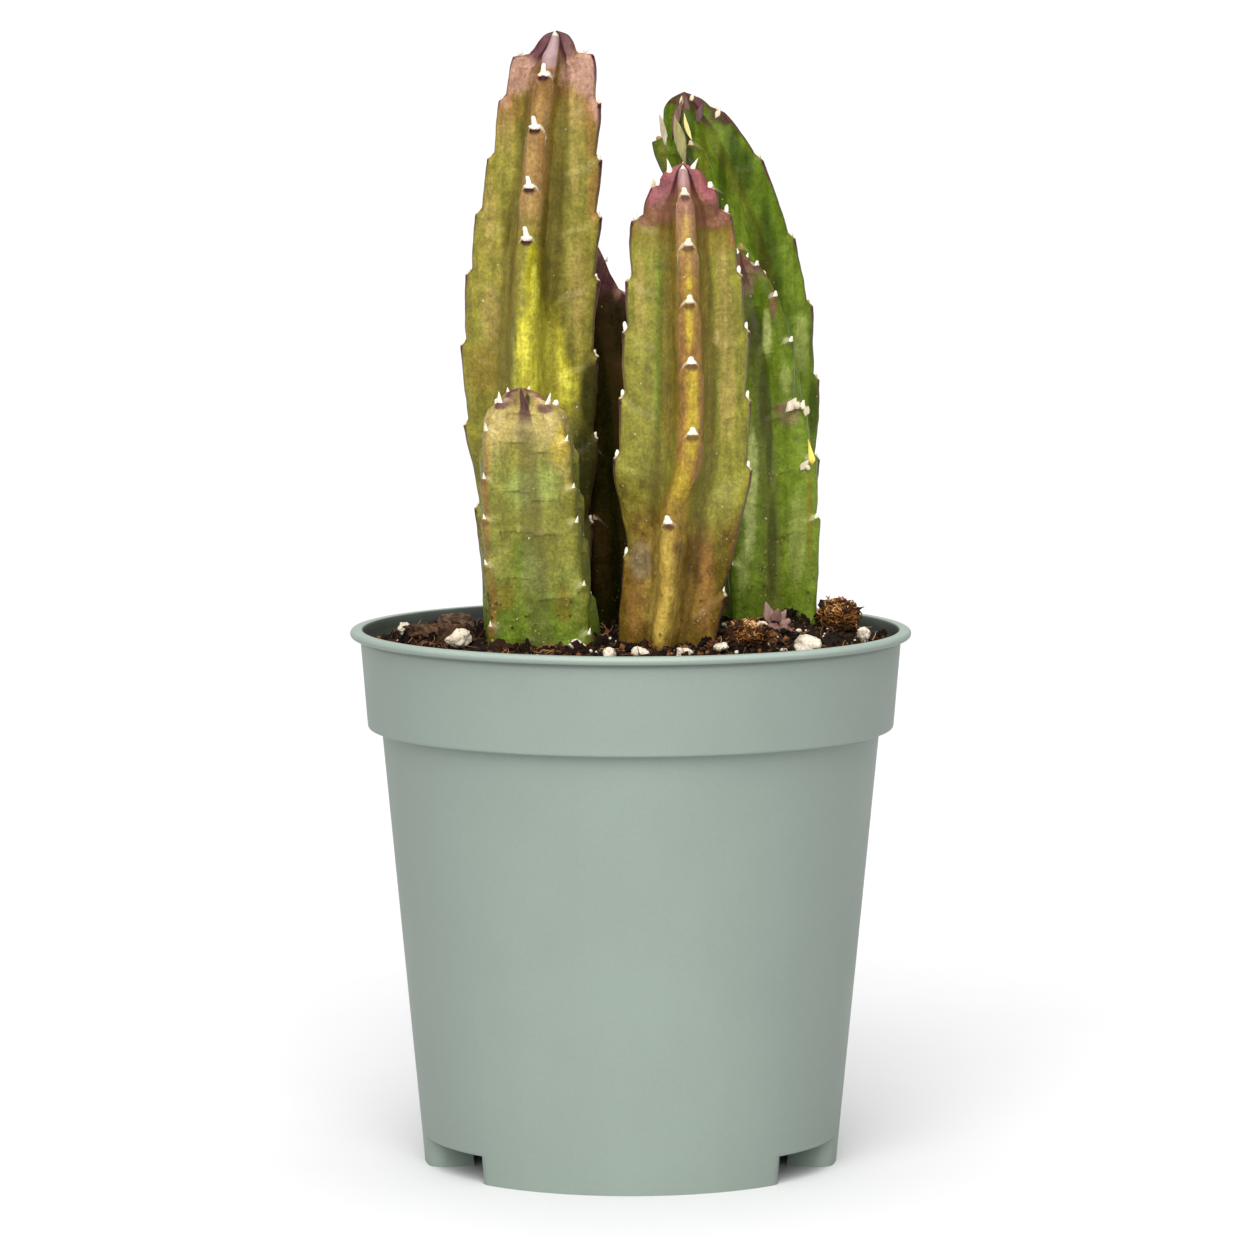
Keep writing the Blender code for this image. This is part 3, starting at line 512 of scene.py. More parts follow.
def spur_finish():
    """Dry pale spurs, browned at the foot and on the worn ones."""
    paint = Paint("spur_dry")
    fine = paint.noise(2500.0, 3.0)
    worn = paint.between(paint.attribute("worn"), 0.25, 1.0)
    colour = paint.tinted(paint.mix(worn, CREAM, (0.42, 0.24, 0.07)), fine, 0.85, 1.1)
    return paint.finish(colour, 0.6, paint.bumps((fine, 0.3, 0.08)), Specular_IOR_Level=0.3)


def husk_finish():
    """Papery husks, from pale yellow through olive to brown."""
    paint = Paint("husk_papery")
    veins = paint.noise(1700.0, 3.0, 0.6, (1.0, 1.0, 0.15))
    stops = (
        (0.0, (0.80, 0.66, 0.12)), (0.35, PAPER), (0.55, OLIVE), (0.75, (0.28, 0.16, 0.13)),
        (0.88, (0.17, 0.08, 0.06)), (1.0, (0.10, 0.045, 0.045)),
    )
    colour = paint.tinted(paint.ramp(paint.attribute("worn"), stops), veins, 0.72, 1.28)
    return paint.finish(colour, 0.6, paint.bumps((veins, 0.5, 0.12)))


def peat_finish(name, dark, warm, bright):
    """Moist peat: near-black crumbs, some of them reddish brown."""
    paint = Paint(name)
    lumps = paint.noise(520.0, 5.0, 0.75)
    fine = paint.noise(2300.0, 4.0, 0.75)
    value = paint.plus(paint.attribute("tone"), paint.swing(lumps, 1.1))
    colour = paint.ramp(value, ((0.15, dark), (0.62, warm), (0.95, bright)))
    colour = paint.tinted(colour, fine, 0.45, 1.55)
    glint = paint.between(paint.cells(1400.0), 0.16, 0.05)
    rare = paint.between(paint.noise(900.0, 1.0), 0.60, 0.66)
    colour = paint.stain(colour, paint.times(glint, rare), 0.7, TAN)
    normal = paint.bumps((fine, 0.8, 0.35), (lumps, 0.7, 0.8))
    roughness = paint.between(fine, 0.3, 0.7, 0.70, 0.95)
    return paint.finish(colour, roughness, normal, Specular_IOR_Level=0.15)


def perlite_finish():
    """Porous cream grains with small dark pits and a little peat dust."""
    paint = Paint("perlite_porous")
    fine = paint.noise(1500.0, 4.0, 0.65)
    pits = paint.between(paint.cells(1250.0), 0.26, 0.10)
    few = paint.between(paint.noise(520.0, 2.0), 0.46, 0.58)
    dust = paint.between(paint.noise(380.0, 4.0), 0.46, 0.72, 0.0, 0.55)
    colour = paint.tinted((0.74, 0.66, 0.52), fine, 0.78, 1.15)
    colour = paint.mix(dust, colour, (0.36, 0.25, 0.14))
    colour = paint.stain(colour, pits, few, (0.05, 0.030, 0.02))
    return paint.finish(colour, 0.85, paint.bumps((paint.maths("SUBTRACT", fine, pits), 0.7, 0.30)))


def bark_finish():
    """Dark bark chips with fibrous streaks."""
    paint = Paint("bark_rough")
    streak = paint.noise(800.0, 5.0, 0.75, (1.0, 0.25, 1.0))
    blotch = paint.noise(330.0, 3.0)
    stops = ((0.3, (0.014, 0.007, 0.004)), (0.52, (0.075, 0.036, 0.017)), (0.75, (0.22, 0.12, 0.06)))
    colour = paint.tinted(paint.ramp(streak, stops), blotch, 0.5, 1.4)
    weathered = paint.between(paint.times(paint.attribute("tone"), blotch), 0.20, 0.55, 0.0, 0.6)
    colour = paint.mix(weathered, colour, (0.24, 0.16, 0.11))
    return paint.finish(colour, 0.8, paint.bumps((streak, 0.9, 0.7)), Specular_IOR_Level=0.2)


def fibre_finish(name, dark, middle, light):
    """Dry fibre whose colour changes from strand to strand."""
    paint = Paint(name)
    fine = paint.noise(2200.0, 3.0)
    colour = paint.ramp(paint.attribute("tone"), ((0.0, dark), (0.5, middle), (1.0, light)))
    colour = paint.tinted(colour, fine, 0.75, 1.25)
    return paint.finish(colour, 0.75, paint.bumps((fine, 0.4, 0.1)), Specular_IOR_Level=0.2)


class Shape:
    """Points in millimetres, faces, a finish for them, and values painted on the points."""

    def __init__(self, points, faces, finish=0, **paint):
        self.points = np.asarray(points, float)
        self.faces = faces
        self.finish = finish
        self.paint = paint


def linked(name, data):
    """A new object in the scene."""
    made = bpy.data.objects.new(name, data)
    bpy.context.scene.collection.objects.link(made)
    return made


def make_piece(name, shapes, finishes, slot, nodes=(), sharp=None):
    """One object made of several shapes. It rides on the frame and stands for its nodes."""
    faces = []
    kinds = []
    start = 0
    for shape in shapes:
        faces += [[i + start for i in face] for face in shape.faces]
        kinds += [shape.finish] * len(shape.faces)
        start += len(shape.points)
    points = np.concatenate([shape.points for shape in shapes])
    mesh = bpy.data.meshes.new(name)
    mesh.from_pydata((points * MM).tolist(), [], faces)
    mesh.polygons.foreach_set("material_index", kinds)
    for key in sorted({key for shape in shapes for key in shape.paint}):
        values = [np.broadcast_to(s.paint.get(key, 0.0), len(s.points)) for s in shapes]
        layer = mesh.attributes.new(key, "FLOAT", "POINT")
        layer.data.foreach_set("value", np.concatenate(values).astype(np.float32))
    for finish in finishes:
        mesh.materials.append(finish)
    built = bmesh.new()
    built.from_mesh(mesh)
    bmesh.ops.recalc_face_normals(built, faces=built.faces)
    built.to_mesh(mesh)
    built.free()
    mesh.shade_smooth()
    if sharp:
        mesh.set_sharp_from_angle(angle=math.radians(sharp))
    return placed(linked(name, mesh), slot, nodes)


def placed(piece, slot, nodes=()):
    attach(piece, "root")
    if nodes:
        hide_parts(*nodes)
    return piece


def circle(count):
    """Angles of points evenly spaced round a circle."""
    return np.arange(count) * math.tau / count


def loft(rings, low, high):
    """Points and faces of a closed skin through rings of points, with a point at each end."""
    rows, columns = rings.shape[:2]
    points = np.concatenate([rings.reshape(-1, 3), [low, high]])
    here = np.arange(columns)
    after = (here + 1) % columns
    faces = []
    for row in range(rows - 1):
        start = row * columns
        above = start + columns
        faces += np.stack([start + here, start + after, above + after, above + here], 1).tolist()
    last = (rows - 1) * columns
    bottom = np.full(columns, rows * columns)
    faces += np.stack([after, here, bottom], 1).tolist()
    faces += np.stack([last + here, last + after, bottom + 1], 1).tolist()
    return points, faces


def object_from(name, built):
    """An object made from a bmesh in millimetres."""
    mesh = bpy.data.meshes.new(name)
    bmesh.ops.recalc_face_normals(built, faces=built.faces)
    bmesh.ops.scale(built, vec=(MM, MM, MM), verts=built.verts)
    built.to_mesh(mesh)
    built.free()
    return linked(name, mesh)


def combine(body, pieces, operation):
    """Joins or cuts the body with the pieces in one Boolean, and then removes the pieces."""
    group = bpy.data.collections.new(f"{body.name}_{operation.lower()}")
    bpy.context.scene.collection.children.link(group)
    for piece in pieces:
        bpy.context.scene.collection.objects.unlink(piece)
        group.objects.link(piece)
    boolean = body.modifiers.new(operation.title(), "BOOLEAN")
    boolean.operation = operation
    boolean.operand_type = "COLLECTION"
    boolean.collection = group
    boolean.solver = "EXACT"
    graph = bpy.context.evaluated_depsgraph_get()
    mesh = bpy.data.meshes.new_from_object(body.evaluated_get(graph))
    body.modifiers.clear()
    body.data = mesh
    for piece in pieces:
        bpy.data.objects.remove(piece)
    bpy.data.collections.remove(group)


def arc(centre, radius, start, end, steps):
    """Points (radius, height) of an arc, with its angles in degrees from the radial direction."""
    turns = [math.radians(start + (end - start) * i / steps) for i in range(steps + 1)]
    return [(centre[0] + radius * math.cos(t), centre[1] + radius * math.sin(t)) for t in turns]


def body_radius(height):
    """Outer radius of the pot's tapered body at a height."""
    share = height / COLLAR_FOOT_HEIGHT
    return BODY_FOOT_RADIUS + (BODY_TOP_RADIUS - BODY_FOOT_RADIUS) * share


def inner_wall():
    """The pot's inner wall as (radius, height) points, from the floor up to below the lip."""
    ledge = COLLAR_FOOT_HEIGHT + WALL
    floor_top = FLOOR_HEIGHT + FLOOR_THICKNESS
    return [
        (body_radius(floor_top) - WALL, floor_top),
        (BODY_TOP_RADIUS - WALL, ledge),
        (COLLAR_FOOT_RADIUS - WALL, ledge + LEDGE_RISE),
        (COLLAR_TOP_RADIUS - WALL, POT_HEIGHT - LIP_THICKNESS),
    ]


def pot_shell():
    """The pot's wall and floor, spun from their profile."""
    lip_round = LIP_THICKNESS / 2
    half_edge = EDGE_ROUND / 2
    under_lip = POT_HEIGHT - LIP_THICKNESS - EDGE_ROUND
    step = (BODY_TOP_RADIUS + half_edge, COLLAR_FOOT_HEIGHT - half_edge)
    corner = (COLLAR_FOOT_RADIUS - EDGE_ROUND, COLLAR_FOOT_HEIGHT + EDGE_ROUND)
    mouth = (MOUTH_RADIUS + MOUTH_ROUND, POT_HEIGHT - MOUTH_ROUND)
    foot_edge = (body_radius(FLOOR_HEIGHT) - EDGE_ROUND, FLOOR_HEIGHT + EDGE_ROUND)
    profile = [
        (0.0, FLOOR_HEIGHT),
        *arc(foot_edge, EDGE_ROUND, -90.0, 0.0, 4),
        (BODY_TOP_RADIUS, COLLAR_FOOT_HEIGHT - half_edge),
        *arc(step, half_edge, 180.0, 90.0, 3),
        *arc(corner, EDGE_ROUND, -90.0, 0.0, 6),
        *arc((COLLAR_TOP_RADIUS + EDGE_ROUND, under_lip), EDGE_ROUND, 180.0, 90.0, 4),
        *arc((LIP_RADIUS - lip_round, POT_HEIGHT - lip_round), lip_round, -90.0, 90.0, 12),
        *arc(mouth, MOUTH_ROUND, 90.0, 180.0, 6),
        *reversed(inner_wall()[:-1]),
        (0.0, FLOOR_HEIGHT + FLOOR_THICKNESS),
    ]
    built = bmesh.new()
    points = [built.verts.new((radius, 0.0, height)) for radius, height in profile]
    edges = [built.edges.new(pair) for pair in zip(points, points[1:])]
    bmesh.ops.spin(
        built, geom=points + edges, cent=(0.0, 0.0, 0.0), axis=(0.0, 0.0, 1.0),
        angle=math.tau, steps=POT_SEGMENTS, use_merge=True,
    )
    bmesh.ops.remove_doubles(built, verts=built.verts, dist=1e-4)
    return built


def pointing(angle):
    """A flat direction at an angle from +X."""
    return Vector((math.cos(angle), math.sin(angle)))


def foot_path(radius):
    """Middle line of one foot's wall, centred on +X: a return, a corner, an arc, and back."""
    end = math.radians(FOOT_HALF_ANGLE)
    turn = end - math.asin(FOOT_CORNER / (radius - FOOT_CORNER))
    centre = (radius - FOOT_CORNER) * pointing(turn)
    half = [radius * pointing(turn * i / 24) for i in range(25)]
    for i in range(1, 9):
        half.append(centre + FOOT_CORNER * pointing(turn + (end + math.pi / 2 - turn) * i / 8))
    half.append(half[-1] - (FOOT_RETURN - FOOT_CORNER) * pointing(end))
    mirrored = [Vector((p.x, -p.y)) for p in half[:0:-1]]
    return mirrored + half


def foot_wall(direction):
    """One foot of the pot, a thin wall bent round at both ends, open underneath."""
    built = bmesh.new()
    loops = []
    for height in (0.0, FLOOR_HEIGHT + FLOOR_THICKNESS / 2):
        path = foot_path(body_radius(height) - FOOT_WALL / 2 - FOOT_INSET)
        outer = []
        inner = []
        for i, point in enumerate(path):
            along = path[min(i + 1, len(path) - 1)] - path[max(i - 1, 0)]
            side = Vector((along.y, -along.x)).normalized() * FOOT_WALL / 2
            outer.append(built.verts.new((*(point + side), height)))
            inner.append(built.verts.new((*(point - side), height)))
        loops.append(outer + inner[::-1])
    low, high = loops
    count = len(low)
    for i in range(count):
        after = (i + 1) % count
        built.faces.new((low[i], low[after], high[after], high[i]))
    for loop in loops:
        for i in range(count // 2 - 1):
            built.faces.new((loop[i], loop[i + 1], loop[-i - 2], loop[-i - 1]))
    turn = Matrix.Rotation(math.radians(direction), 3, "Z")
    bmesh.ops.rotate(built, cent=(0, 0, 0), matrix=turn, verts=built.verts)
    return built


def drain_hole(index):
    """A cutter for one drain hole: a ring of them, and the last in the middle."""
    built = bmesh.new()
    angle = math.tau * index / DRAIN_COUNT + math.radians(DRAIN_FIRST)
    place = (0.0 if index == DRAIN_COUNT else DRAIN_CIRCLE) * pointing(angle)
    bmesh.ops.create_cone(
        built, cap_ends=True, segments=32, radius1=DRAIN_RADIUS, radius2=DRAIN_RADIUS,
        depth=FLOOR_THICKNESS * 4, matrix=Matrix.Translation((*place, FLOOR_HEIGHT)),
    )
    return built


def make_pot():
    pot = object_from("moulded_pot", pot_shell())
    turns = [-90.0 + 360.0 * i / FOOT_COUNT for i in range(FOOT_COUNT)]
    combine(pot, [object_from("foot", foot_wall(turn)) for turn in turns], "UNION")
    drains = [object_from("drain", drain_hole(i)) for i in range(DRAIN_COUNT + 1)]
    combine(pot, drains, "DIFFERENCE")
    pot.data.materials.clear()
    pot.data.materials.append(pot_finish())
    pot.data.shade_smooth()
    pot.data.set_sharp_from_angle(angle=math.radians(35.0))
    return placed(pot, "pot_plastic", ["pot"])


def spine_at(stem, height):
    """The stem's (x, y, reach, turn) at a height, on a smooth curve through its spine."""
    rows = stem.spine
    height = min(max(height, rows[0][0]), rows[-1][0])
    i = max(k for k in range(len(rows) - 1) if rows[k][0] <= height)
    low, high = rows[i], rows[i + 1]
    before = rows[max(i - 1, 0)]
    after = rows[min(i + 2, len(rows) - 1)]
    span = high[0] - low[0]
    t = (height - low[0]) / span
    values = []
    for k in range(1, 5):
        start = (high[k] - before[k]) / (high[0] - before[0]) * span
        end = (after[k] - low[k]) / (after[0] - low[0]) * span
        bend = (2 * t**3 - 3 * t**2 + 1) * low[k] + (t**3 - 2 * t**2 + t) * start
        values.append(bend + (3 * t**2 - 2 * t**3) * high[k] + (t**3 - t**2) * end)
    return values


def tooth_steps(teeth, tip, crown, ledges, heights):
    """For every height on a rib: how far it is stepped in, as a share of a whole step at the
    shelf above a tooth, the depth of that step, how far it lies below the tooth above it, and
    how far above its own."""
    notch = np.zeros_like(heights)
    depth = np.full_like(heights, STEP)
    below = np.full_like(heights, FAR)
    over = np.full_like(heights, FAR)
    above = tip
    for tooth in teeth:
        own_depth, rise = crown if above == tip else (ledges.get(tooth, STEP), SHELF)
        here = (heights >= tooth) & (heights < above)
        notch = np.where(here, (above - heights) / (above - (tooth + rise)), notch)
        notch = np.where(here & (heights < tooth + rise), (heights - tooth) / rise, notch)
        depth = np.where(here, own_depth, depth)
        over = np.where(here, heights - tooth, over)
        below = np.where(heights < tooth, tooth - heights, below)
        above = tooth
    return notch, depth, below, over


def row_heights(tip):
    """Heights of a stem's rings of points, close together above the soil."""
    buried = np.arange(BASE_HEIGHT, SOIL_EDGE_HEIGHT, BURIED_PITCH)
    open_air = np.arange(SOIL_EDGE_HEIGHT, tip - ROW_PITCH, ROW_PITCH)
    return np.concatenate([buried, open_air, [tip - ROW_PITCH / 2]])


def column_shares():
    """Shares of the way from one rib to the next, crowded near the ribs."""
    even = np.arange(COLUMNS) / COLUMNS
    return even - CROWDING * np.sin(math.tau * even) / math.tau


def hill(value, middle, width, power=2):
    """1 where a value is at the middle, and falling off to nothing over a width."""
    return np.exp(-(((value - middle) / width) ** power))


def part(value, low=0.0, high=1.0):
    """A value kept between two others."""
    return np.clip(value, low, high)


def stem_body(stem):
    """The stem's skin, with the values that its finish reads painted on it."""
    tip = stem.spine[-1][0]
    heights = row_heights(tip)
    rows = heights[:, None]
    spine = np.array([spine_at(stem, height) for height in heights])
    x, y, reach, turn = (spine[:, [k]] for k in range(4))
    rib = np.repeat(np.arange(RIBS), COLUMNS)
    share = np.tile(column_shares(), RIBS)
    near = np.where(share <= 0.5, rib, (rib + 1) % RIBS)
    away = 2.0 * np.minimum(share, 1.0 - share)
    ribs = np.array(stem.ribs)
    width = (ribs[(rib + 1) % RIBS] - ribs[rib]) % 360.0
    direction = np.radians(ribs[rib] + share * width + turn)
    tender = part(1.0 - (tip - rows) / 9.0)
    crest = ((1.0 + np.cos(np.pi * away)) / 2.0) ** (RIB_SHARPNESS - 0.9 * tender)
    lateral = reach * np.radians(away * width / 2.0)
    shrink = np.minimum(1.0, reach / STEP_FULL_REACH)
    half = RIB_HALF_WIDTH * shrink
    bow = ARCH * shrink * np.minimum(lateral / half, 1.0) ** 2
    drop = stem.hang * part((tip - rows) / 70.0, 0.15)
    line = rows + bow + drop * (1.0 - np.cos(np.pi * away)) / 2.0
    notch, depth, below, over, cap = (np.zeros_like(line) for _ in range(5))
    young = np.full_like(line, FAR)
    facing = np.abs((ribs[near] + turn + 180.0) % 360.0 - 180.0)
    sideways = part((facing - 25.0) / 40.0)
    for k in range(RIBS):
        own = near == k
        ledges = {tooth: deep for owner, tooth, deep in stem.ledges if owner == k}
        found = tooth_steps(stem.teeth[k], tip, stem.crown, ledges, line[:, own])
        notch[:, own], depth[:, own], below[:, own], over[:, own] = found
        for tooth in stem.young[k] if abs(stem.ribs[k]) < 20.0 else ():
            arch = young_arch(rows, tooth, lateral[:, own])
            young[:, own] = np.minimum(young[:, own], np.abs(arch) + 0.05 * (tooth - rows))
            above = part((rows - stem.teeth[k][0] - 0.4) / 2.5)
            cap[:, own] = np.maximum(cap[:, own], part(-3.0 * arch) * above)
    valley = (stem.valley - 0.15 * tender) * reach
    top = reach - valley
    radius = valley + top * crest - depth * shrink * notch * crest**0.5
    flat = (x + radius * np.sin(direction), y - radius * np.cos(direction))
    points = np.stack([*flat, np.broadcast_to(rows, radius.shape)], 2)
    swell = relief(points, 8.0, 0.35) + relief(points, 2.4, 0.12)
    fade = part((tip - rows) / 8.0)
    points[..., 0] += swell * fade * np.sin(direction)
    points[..., 1] -= swell * fade * np.cos(direction)
    age = part((tip - rows) / 60.0)
    rise = part((rows - SOIL_EDGE_HEIGHT) / (tip - SOIL_EDGE_HEIGHT))
    fresh = part(1.25 - (tip - rows) / 40.0)
    bare = part((rise - 0.28) / 0.36, 0.1)
    outline = part((0.65 - top * (1.0 - crest)) / 0.35)
    marks = {
        "rise": rise,
        "crest": crest,
        "ridge": crest * (1.0 - 0.85 * sideways),
        "cap": cap,
        "spot": spot_below(below, lateral, shrink),
        "border": border_of(below, lateral, half) * (1.0 - 0.6 * sideways) * fresh,
        # Painted shade on both sides of the front rib
        "flank": hill(lateral / half, 1.60, 0.6) * (1.0 - sideways) * bare,
        "edge": outline * sideways**2 * (0.40 + 0.60 * np.exp(-below / 3.5)),
        "line": hill(below, 0.0, 0.35) * part(lateral / half - 0.8),
        # Painted shade along the creases under the teeth
        "cleft": tender**0.5 * part((0.13 - crest) / 0.10),
        # Painted shade in the grooves near the tip
        "margin": margin_above(over, young, below, lateral, half, age, sideways),
        # Painted highlight along the front rib
        "glow": glow_of(stem, rows, near, lateral),
    }
    for kind in kinds_of(stem.name):
        marks[kind] = patch_of(stem, kind, points, y)
    # Where the painted sun highlight lies, the painted shade beside the rib is taken away.
    if "sun" in marks:
        marks["flank"] = marks["flank"] * (1.0 - marks["sun"])
    low = spine_at(stem, heights[0])
    points, faces = loft(points, (low[0], low[1], BASE_HEIGHT), stem.spine[-1][1:3] + (tip,))
    paint = {}
    for key, values in marks.items():
        full = np.broadcast_to(values, line.shape)
        paint[key] = np.concatenate([full.ravel(), full[0, :1], full[-1, :1]])
    return Shape(points, faces, 0, **paint)


def young_arch(rows, tooth, lateral):
    """Distance in mm outside the outline of the youngest tooth of a rib, a round-topped arch."""
    down = tooth - rows
    half = 1.75 + 0.16 * np.maximum(down, 0.0)
    top = np.maximum(0.0, 1.0 - down / 1.9)
    return (np.hypot(lateral / half, top) - 1.0) * half


def spot_below(below, lateral, shrink):
    """The dark spot under a spur, which narrows downwards."""
    wide = np.maximum(1.60 * shrink - 0.45 * below, 0.22)
    return hill(lateral, 0.0, wide, 4) * hill(below, 0.0, 1.75) * (below > 0.05)


def border_of(below, lateral, half):
    """The dark line along both sides of a rib, strongest below its teeth."""
    return hill(lateral, 1.08 * half, 0.36) * (0.5 + 0.5 * np.exp(-below / 6.0))


def margin_above(over, young, below, lateral, half, age, sideways):
    """The pale papery margin along the top of each tooth, brightest on the young ones, and the
    pale lines that run down from it along both sides of a rib."""
    old = hill(over, 0.45, 0.50) * (1.0 - 0.35 * age * (1.0 - sideways))
    across = hill(lateral, 0.0, half * (1.12 - 0.80 * sideways), 4)
    new = 0.9 * hill(young, 0.0, 0.24)
    legs = hill(lateral, 0.90 * half, 0.26) * np.exp(-below / 6.5)
    legs = legs * (1.0 - sideways) * part(1.1 - 1.3 * age)
    return np.maximum(np.maximum(old * across, new), legs)


def relief(points, size, height):
    """Smooth bumps of a size over a grid of points, both ways from the surface."""
    values = [noise.noise(Vector(point)) for point in points.reshape(-1, 3) / size]
    return height * np.array(values).reshape(points.shape[:-1])


# A pale painted highlight along the front rib, for light through it and off its crest: top, foot, half
# width and strength of each stretch
GLOWS = {
    "stem_front_centre": (
        (206.0, 193.0, 1.3, 0.45), (196.0, 172.0, 1.7, 0.65), (178.0, 147.0, 1.9, 0.75),
        (150.0, 140.0, 2.2, 0.3),
    ),
    "stem_tall_left": ((231.0, 222.0, 1.0, 0.35), (220.0, 198.0, 1.2, 0.4)),
}


def glow_of(stem, rows, near, lateral):
    """How strongly the pale painted highlight on the front rib shows at each point."""
    total = np.zeros_like(lateral)
    for top, foot, half_width, strength in GLOWS.get(stem.name, ()):
        fade = (top - foot) * 0.25
        stretch = part((top - rows) / fade) * part((rows - foot) / fade)
        total = np.maximum(total, strength * stretch * hill(lateral, 0.0, half_width))
    return total * (near == 0)


# Kinds of patch: the colour and its strength, the later ones over the earlier
PATCHES = {
    "moss": (MOSS, 0.5),
    "sage": (SAGE, 0.65),
    "olive": (OLIVE, 0.75),
    "fresh": (FRESH, 0.65),
    "tan": (TAN, 0.5),
    "rust": (RUST, 0.65),
    "bronze": (BRONZE, 0.5),
    "lime": (YELLOW_GREEN, 0.75),
    "gold": (GOLD, 0.65),
    "honey": (HONEY, 0.7),
    "amber": (AMBER, 0.8),
    # sun is a painted highlight on the front rib of the tall left stem.
    "sun": (SUNLIT, 0.9),
    "rose": (DUSTY_PINK, 0.85),
    "wine": (WINE, 0.85),
    "flush": (MAGENTA, 0.9),
    "pale": (PALE_GREEN, 0.75),
    # sheen is a painted highlight.
    "sheen": (SHEEN, 0.7),
    "cream": (SAND, 0.85),
    "grey": (GREY_TAN, 0.8),
    "plum": (PLUM, 0.85),
    "deep": (DEEP, 0.8),
    # dark is painted shade, where a stem lies in shadow.
    "dark": (SHADE_BLACK, 0.85),
}

